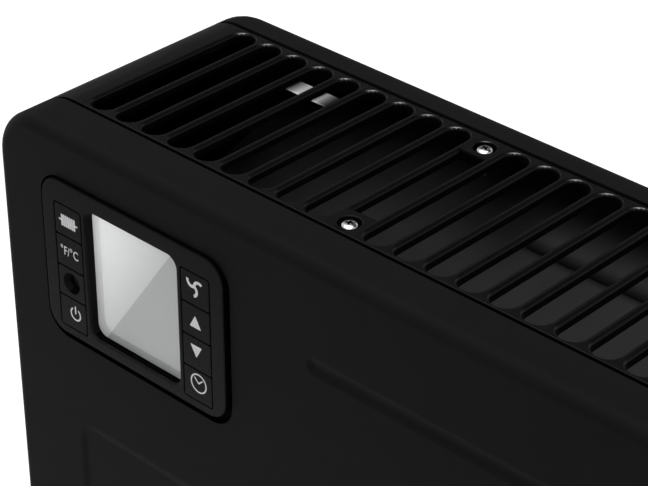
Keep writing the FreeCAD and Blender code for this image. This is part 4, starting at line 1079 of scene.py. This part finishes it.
MILLIMETRE = 0.001
LAYER = 0.004
STROKE_STEPS = 20
FIN_NUMBERS = range(-3, 4)
FIN_PITCH = 0.98
FIN_HALF = 1.8
FIN_WIDTH = 0.86
ROD_ENDS = (3.4, 4.2)
ROD_WIDTH = 0.66
SIGN_SIZE = 4.7
SIGN_BOLD = 0.03
SIGN_SPACING = 1.04
SIGN_NARROW = (0.8, 1, 1)
POWER_RADIUS = 2.3
POWER_WIDTH = 0.62
POWER_ARC = (125, 290)
POWER_BAR = (0.3, 2.8)
BLADES = 3
BLADE_CENTRE = (-1.03, 1.61)
BLADE_RADIUS = 1.92
BLADE_WIDTH = 1.05
BLADE_ARC = (-57, -136)
HUB_HALF = 0.1
HUB_WIDTH = 1.5
ARROW_HALF = 2.2
ARROW_FOOT = 1.9
ARROW_TIP = 2.0
ARROW_CORNER = 0.2
ARROW_BEGIN = 150
DIAL_RADII = (3.6, 3.08)
DIAL_STEPS = 40
HAND_TIPS = ((-1.75, 1.75), (1.6, 1.45))
HAND_WIDTH = 0.5


def bar(bm, start, end, width, layer=0):
    """Straight stroke with round ends, in a layer of its own where strokes cross."""
    way = math.atan2(end[1] - start[1], end[0] - start[0])
    plate(bm, [outline(bm, [start, end], width / 2, layer * LAYER, EDGE_STEPS, way + math.pi / 2)])


def arc(bm, centre, radius, width, begin, sweep, layer=0):
    """Stroke along a part of a circle, in a layer of its own where strokes cross."""
    middle = Vector((*centre, layer * LAYER))
    way = Vector((math.cos(math.radians(begin)), math.sin(math.radians(begin)), 0))
    ends = [bm.verts.new(middle + way * (radius + side * width / 2)) for side in (-1, 1)]
    edge = bm.edges.new(ends)
    bmesh.ops.spin(bm, geom=[*ends, edge], cent=middle, axis=(0, 0, 1), angle=math.radians(sweep),
                   steps=STROKE_STEPS)


def heat_symbol(bm):
    """Row of fins on a rod."""
    for number in FIN_NUMBERS:
        across = number * FIN_PITCH
        bar(bm, (across, -FIN_HALF), (across, FIN_HALF), FIN_WIDTH)
    for side in (-1, 1):
        start, end = [(side * reach, 0) for reach in ROD_ENDS]
        bar(bm, start, end, ROD_WIDTH, layer=1)


def units_symbol(bm):
    """Fahrenheit and Celsius signs."""
    curve = bpy.data.curves.new("units", "FONT")
    curve.body = "\u00b0F/\u00b0C"
    curve.size = SIGN_SIZE
    curve.offset = SIGN_BOLD
    curve.space_character = SIGN_SPACING
    curve.align_x = "CENTER"
    curve.align_y = "CENTER"
    holder = placed("units", curve)
    bm.from_mesh(holder.to_mesh())
    holder.to_mesh_clear()
    bpy.data.objects.remove(holder)
    bmesh.ops.scale(bm, vec=SIGN_NARROW, verts=bm.verts)


def power_symbol(bm):
    """Open ring with a bar in its gap."""
    arc(bm, (0, 0), POWER_RADIUS, POWER_WIDTH, *POWER_ARC)
    start, end = [(0, height) for height in POWER_BAR]
    bar(bm, start, end, POWER_WIDTH)


def fan_symbol(bm):
    """Swept blades on a hub."""
    for number in range(BLADES):
        known = set(bm.verts)
        arc(bm, BLADE_CENTRE, BLADE_RADIUS, BLADE_WIDTH, *BLADE_ARC, layer=number)
        blade = [vert for vert in bm.verts if vert not in known]
        turn = Matrix.Rotation(number * math.tau / BLADES, 3, "Z")
        bmesh.ops.rotate(bm, cent=(0, 0, 0), matrix=turn, verts=blade)
    bar(bm, (-HUB_HALF, 0), (HUB_HALF, 0), HUB_WIDTH, layer=BLADES)


def arrow(bm, way):
    """Triangle that points up, or down for a way of -1."""
    half, foot_level = way * ARROW_HALF, -way * ARROW_FOOT
    corners = [(-half, foot_level), (half, foot_level), (0, way * ARROW_TIP)]
    begin = math.radians(ARROW_BEGIN + 90 * (1 - way))
    plate(bm, [outline(bm, corners, ARROW_CORNER, 0, FINE_STEPS, begin)])


def up_symbol(bm):
    arrow(bm, 1)


def down_symbol(bm):
    arrow(bm, -1)


def timer_symbol(bm):
    """Clock face with two hands."""
    plate(bm, [ring(bm, (0, 0), radius, 0, DIAL_STEPS) for radius in DIAL_RADII])
    for layer, tip in enumerate(HAND_TIPS):
        bar(bm, (0, 0), tip, HAND_WIDTH, layer)


# What is drawn on each key, and how far aside of its middle and above it
SYMBOLS = {"heat_key": (heat_symbol, 0.25, 0.1), "units_key": (units_symbol, -0.05, 0.2),
           "power_key": (power_symbol, 1.05, 0.5), "fan_key": (fan_symbol, -0.15, 1.2),
           "up_key": (up_symbol, -0.25, 0), "down_key": (down_symbol, -0.25, 1.1),
           "timer_key": (timer_symbol, 0.35, 1.1)}


def key_symbol(name):
    """White print on a key's front."""
    draw, aside, above = SYMBOLS[name]
    left, right, low, high, front = key_box(name)
    bm = bmesh.new()
    draw(bm)
    bmesh.ops.scale(bm, vec=(MILLIMETRE, MILLIMETRE, MILLIMETRE), verts=bm.verts)
    face_up(bm.faces)
    bmesh.ops.solidify(bm, geom=bm.faces[:], thickness=PRINT_THICK)
    place = ((left + right) / 2 + aside * MILLIMETRE, (low + high) / 2 + above * MILLIMETRE,
             front + PRINT_THICK)
    bm.transform(FRONT_FACING @ Matrix.Translation(place))
    piece(name + "_symbol", bm, "key_plastic", body=name, looks=["symbol_print"])


# Screws

def screw_mesh(thread_length):
    """One pan-head screw with a cross recess, whose head stands on the origin."""
    profile = [(0, HEAD_HEIGHT)]
    for step in range(1, HEAD_STEPS + 1):
        angle = math.radians(90) * step / HEAD_STEPS
        height = HEAD_SIDE + (1 - HEAD_SIDE) * math.cos(angle) ** HEAD_CROWN
        profile.append((SCREW_HEAD * math.sin(angle) ** HEAD_BULGE, HEAD_HEIGHT * height))
    profile += [(SCREW_HEAD, 0), (THREAD_RADIUS, 0), (THREAD_RADIUS, THREAD_RADIUS - thread_length),
                (0, -thread_length)]
    bm = bmesh.new()
    turned(bm, profile, SCREW_STEPS)
    cross = bmesh.new()
    size = Matrix.Diagonal((2 * RECESS_REACH, 2 * RECESS_HALF, 2 * RECESS_DEPTH, 1))
    for turn in (0, 90):
        place = Matrix.Translation((0, 0, HEAD_HEIGHT)) @ Matrix.Rotation(math.radians(turn), 4, "Z")
        arm = bmesh.ops.create_cube(cross, size=1, matrix=place @ size)["verts"]
        tips = [vert for vert in arm if vert.co.z < HEAD_HEIGHT]
        bmesh.ops.scale(cross, vec=(RECESS_TAPER, RECESS_TAPER, 1), verts=tips)
    made = carved(bm, cross)
    # Painted shade: the faces of the cross recess get the near-black finish
    for face in made.polygons:
        sunk = 0 < face.center.z < HEAD_HEIGHT * RECESS_SHARE
        face.material_index = sunk and face.center.xy.length < RECESS_REACH
    return made


def screws(node, name, seat, upwards, turns):
    """Four screws at the corners of a node's box, with their heads up or down."""
    low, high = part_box(node)
    places = []
    for (across, along), turn in zip(screw_places(node), turns):
        place = Matrix.Translation((across, along, seat)) @ Matrix.Rotation(math.radians(turn), 4, "Z")
        if not upwards:
            place = place @ Matrix.Rotation(math.radians(180), 4, "X")
        places.append(place)
    bm = copies(screw_mesh(high.z - low.z - HEAD_HEIGHT), places)
    return piece(name, bm, "plated_steel", nodes=[node], looks=["plated_steel", "painted_shade_black"])


# Stage, light and camera

CAMERA_PLACE = (0.2362, -0.4607, 0.7971)
CAMERA_AZIMUTH = math.radians(43.561)
CAMERA_ELEVATION = math.radians(31.885)
CAMERA_LENS = 128.64
SENSOR_WIDTH = 36
CLIP_START = 0.01
MATT = 0.9
WORLD_LEVEL = 0.5
FLOOR_REACH = 8
FLOOR_SHADES = ((0.71, 0.71, 0.71), (0.73, 0.73, 0.73))
FLOOR_PATCH = 3
FLOOR_GLOW = 0.55
OVERHEAD = dict(place=(-0.4, -0.2, 2.2), aim=(0, 0, 0.4), size=2.0, watts=28)
GLINT = dict(place=(0.3, -0.8, 1.68), aim=(-0.15, 0.035, TOP), size=1.3)
RIM_WATTS = 240
HEAD_WATTS = 14
ACCENT_PLACE = (0.25, -0.473, 0.82)
ACCENT_AIM = (-0.2547, 0.047, 0.42)
ACCENT_WATTS = 22
ACCENT_CONE = math.radians(6)
ACCENT_BLEND = 0.4
ACCENT_SIZE = 0.01
FLAG_HALF = 0.5
FLAG_PATCH = 5
FLAG_SPREAD = 1.2
FLAGS = {
    "back_flag": dict(place=(-0.8, 1.05, 0.35), aim=(-0.1, 0.05, 0.4), sizes=(1.8, 1.0), level=0.2),
    "upper_flag": dict(place=(-0.05, 1.0, 1.65), aim=(-0.15, 0, 0.44), sizes=(1.8, 0.9), level=0.03),
    "high_flag": dict(place=(-1.0, 0.97, 1.2), aim=(-0.15, 0, 0.44), sizes=(1.0, 0.6), level=0.25),
}


def seen_plainly(tree):
    """1 for rays from the camera, off a gloss or through glass, and 0 for the light on the object."""
    rays = tree.nodes.new("ShaderNodeLightPath").outputs
    relayed = joined(tree, "MAXIMUM", rays["Is Glossy Ray"], rays["Is Transmission Ray"])
    return joined(tree, "MAXIMUM", rays["Is Camera Ray"], relayed)


def white_world():
    """White where it is seen, and a plain level of light on the object."""
    world = bpy.data.worlds.new("studio")
    scene.world = world
    world.use_nodes = True
    tree = world.node_tree
    background = tree.nodes["Background"]
    background.inputs["Color"].default_value = (1, 1, 1, 1)
    tree.links.new(graded(tree, seen_plainly(tree), 0, 1, WORLD_LEVEL, 1), background.inputs["Strength"])


def matt_card(name, size, shades, patch):
    """Square sheet and a matt material for it; gives both, and the material's node tree and shader."""
    bm = bmesh.new()
    bmesh.ops.create_grid(bm, x_segments=1, y_segments=1, size=size)
    material = bpy.data.materials.new(name)
    tree, shader = nodes_of(material)
    tree.links.new(shade_range(tree, noise(tree, patch), *shades), shader.inputs["Base Color"])
    shader.inputs["Roughness"].default_value = MATT
    return bm, material, tree, shader


def stage_piece(name, bm, material):
    """Piece of the stage, which isn't part of the object."""
    mesh = mesh_of(name, bm)
    mesh.materials.append(material)
    made = placed(name, mesh)
    return made


def pale_floor():
    """Pale floor that keeps the shadow and reads as white."""
    bm, material, tree, shader = matt_card("floor_paper", FLOOR_REACH, FLOOR_SHADES, FLOOR_PATCH)
    shader.inputs["Specular IOR Level"].default_value = 0.0
    shader.inputs["Emission Color"].default_value = (1, 1, 1, 1)
    lift = graded(tree, seen_plainly(tree), 0, 1, 0, FLOOR_GLOW)
    tree.links.new(lift, shader.inputs["Emission Strength"])
    stage_piece("floor", bm, material)


def aimed(place, aim, front="-Z"):
    """Turn that points an object's front from its place at an aim."""
    return (Vector(aim) - Vector(place)).to_track_quat(front, "Y")


def lamp(name, kind, place, aim, watts):
    light = bpy.data.lights.new(name, kind)
    light.energy = watts
    made = placed(name, light)
    made.location = place
    made.rotation_euler = aimed(place, aim).to_euler()
    return made


def softbox(name, place, aim, size, watts):
    made = lamp(name, "AREA", place, aim, watts)
    made.data.size = size
    made.visible_camera = False
    return made


def only_on(made, target):
    """Let a lamp reach one piece alone."""
    reached = bpy.data.collections.new(made.name + "_reach")
    reached.objects.link(target)
    made.light_linking.receiver_collection = reached


def glint(name, watts, target):
    """Softbox that only shows as a reflection on one piece."""
    made = softbox(name, watts=watts, **GLINT)
    made.visible_diffuse = False
    only_on(made, target)


def accent(target):
    """Narrow spot on one piece."""
    made = lamp("accent", "SPOT", ACCENT_PLACE, ACCENT_AIM, ACCENT_WATTS)
    made.data.spot_size = ACCENT_CONE
    made.data.spot_blend = ACCENT_BLEND
    made.data.shadow_soft_size = ACCENT_SIZE
    only_on(made, target)


def flag(name, place, aim, sizes, level):
    """Dark card that only reflections see."""
    bm, material, _, _ = matt_card(name, FLAG_HALF, greys(level, level * FLAG_SPREAD), FLAG_PATCH)
    bmesh.ops.scale(bm, vec=(*sizes, 1), verts=bm.verts)
    bm.transform(Matrix.Translation(place) @ aimed(place, aim, "Z").to_matrix().to_4x4())
    card = stage_piece(name, bm, material)
    card.visible_camera = False
    card.visible_diffuse = False
    card.visible_shadow = False
    card.visible_transmission = False


def camera():
    view = bpy.data.cameras.new("camera")
    view.lens = CAMERA_LENS
    view.sensor_width = SENSOR_WIDTH
    view.clip_start = CLIP_START
    made = placed("camera", view)
    made.location = CAMERA_PLACE
    level = math.cos(CAMERA_ELEVATION)
    look = Vector((-math.sin(CAMERA_AZIMUTH) * level, math.cos(CAMERA_AZIMUTH) * level,
                   -math.sin(CAMERA_ELEVATION)))
    made.rotation_euler = look.to_track_quat("-Z", "Y").to_euler()
    scene.camera = made


# Solids that are shown as they are
for part in frame["record"]["subparts"]:
    materials = frame["nodes"][part["node"]].data.materials
    materials.clear()
    materials.append(finishes[part["material_slot"]])
# Painted shade: the cut-out, its bracket and the control housing get the near-black finish
for shaded in ("thermal_cutout", "cutout_bracket", "control_housing"):
    frame["nodes"][shaded].data.materials[0] = finishes["painted_shade_black"]
# The display gets its painted glare and painted glow.
frame["nodes"]["lcd_module"].data.materials[0] = finishes["display_painted_glare"]

# Pieces
front_shell()
rear_shell()
grille_frame()
bottom_tray()
control_bezel()
for key in KEYS:
    key_cap(key)
    key_symbol(key)
lens()
bright_heads = screws("grille_screws", "grille_screw_set", TOP - SEAT_DROP, True, GRILLE_TURNS)
screws("bottom_screws", "bottom_screw_set", RISE + SEAT_DROP, False, BOTTOM_TURNS)
foot("left_foot")
foot("right_foot")
foot_pads()
gland()
deflector()
bright_rims = rim_beads()
bright_lip = cutout_lip()

# Studio
white_world()
pale_floor()
softbox("overhead", **OVERHEAD)
glint("rim_glint", RIM_WATTS, bright_rims)
glint("head_glint", HEAD_WATTS, bright_heads)
accent(bright_lip)
for name, card in FLAGS.items():
    flag(name, **card)
camera()
scene.view_settings.view_transform = "Standard"
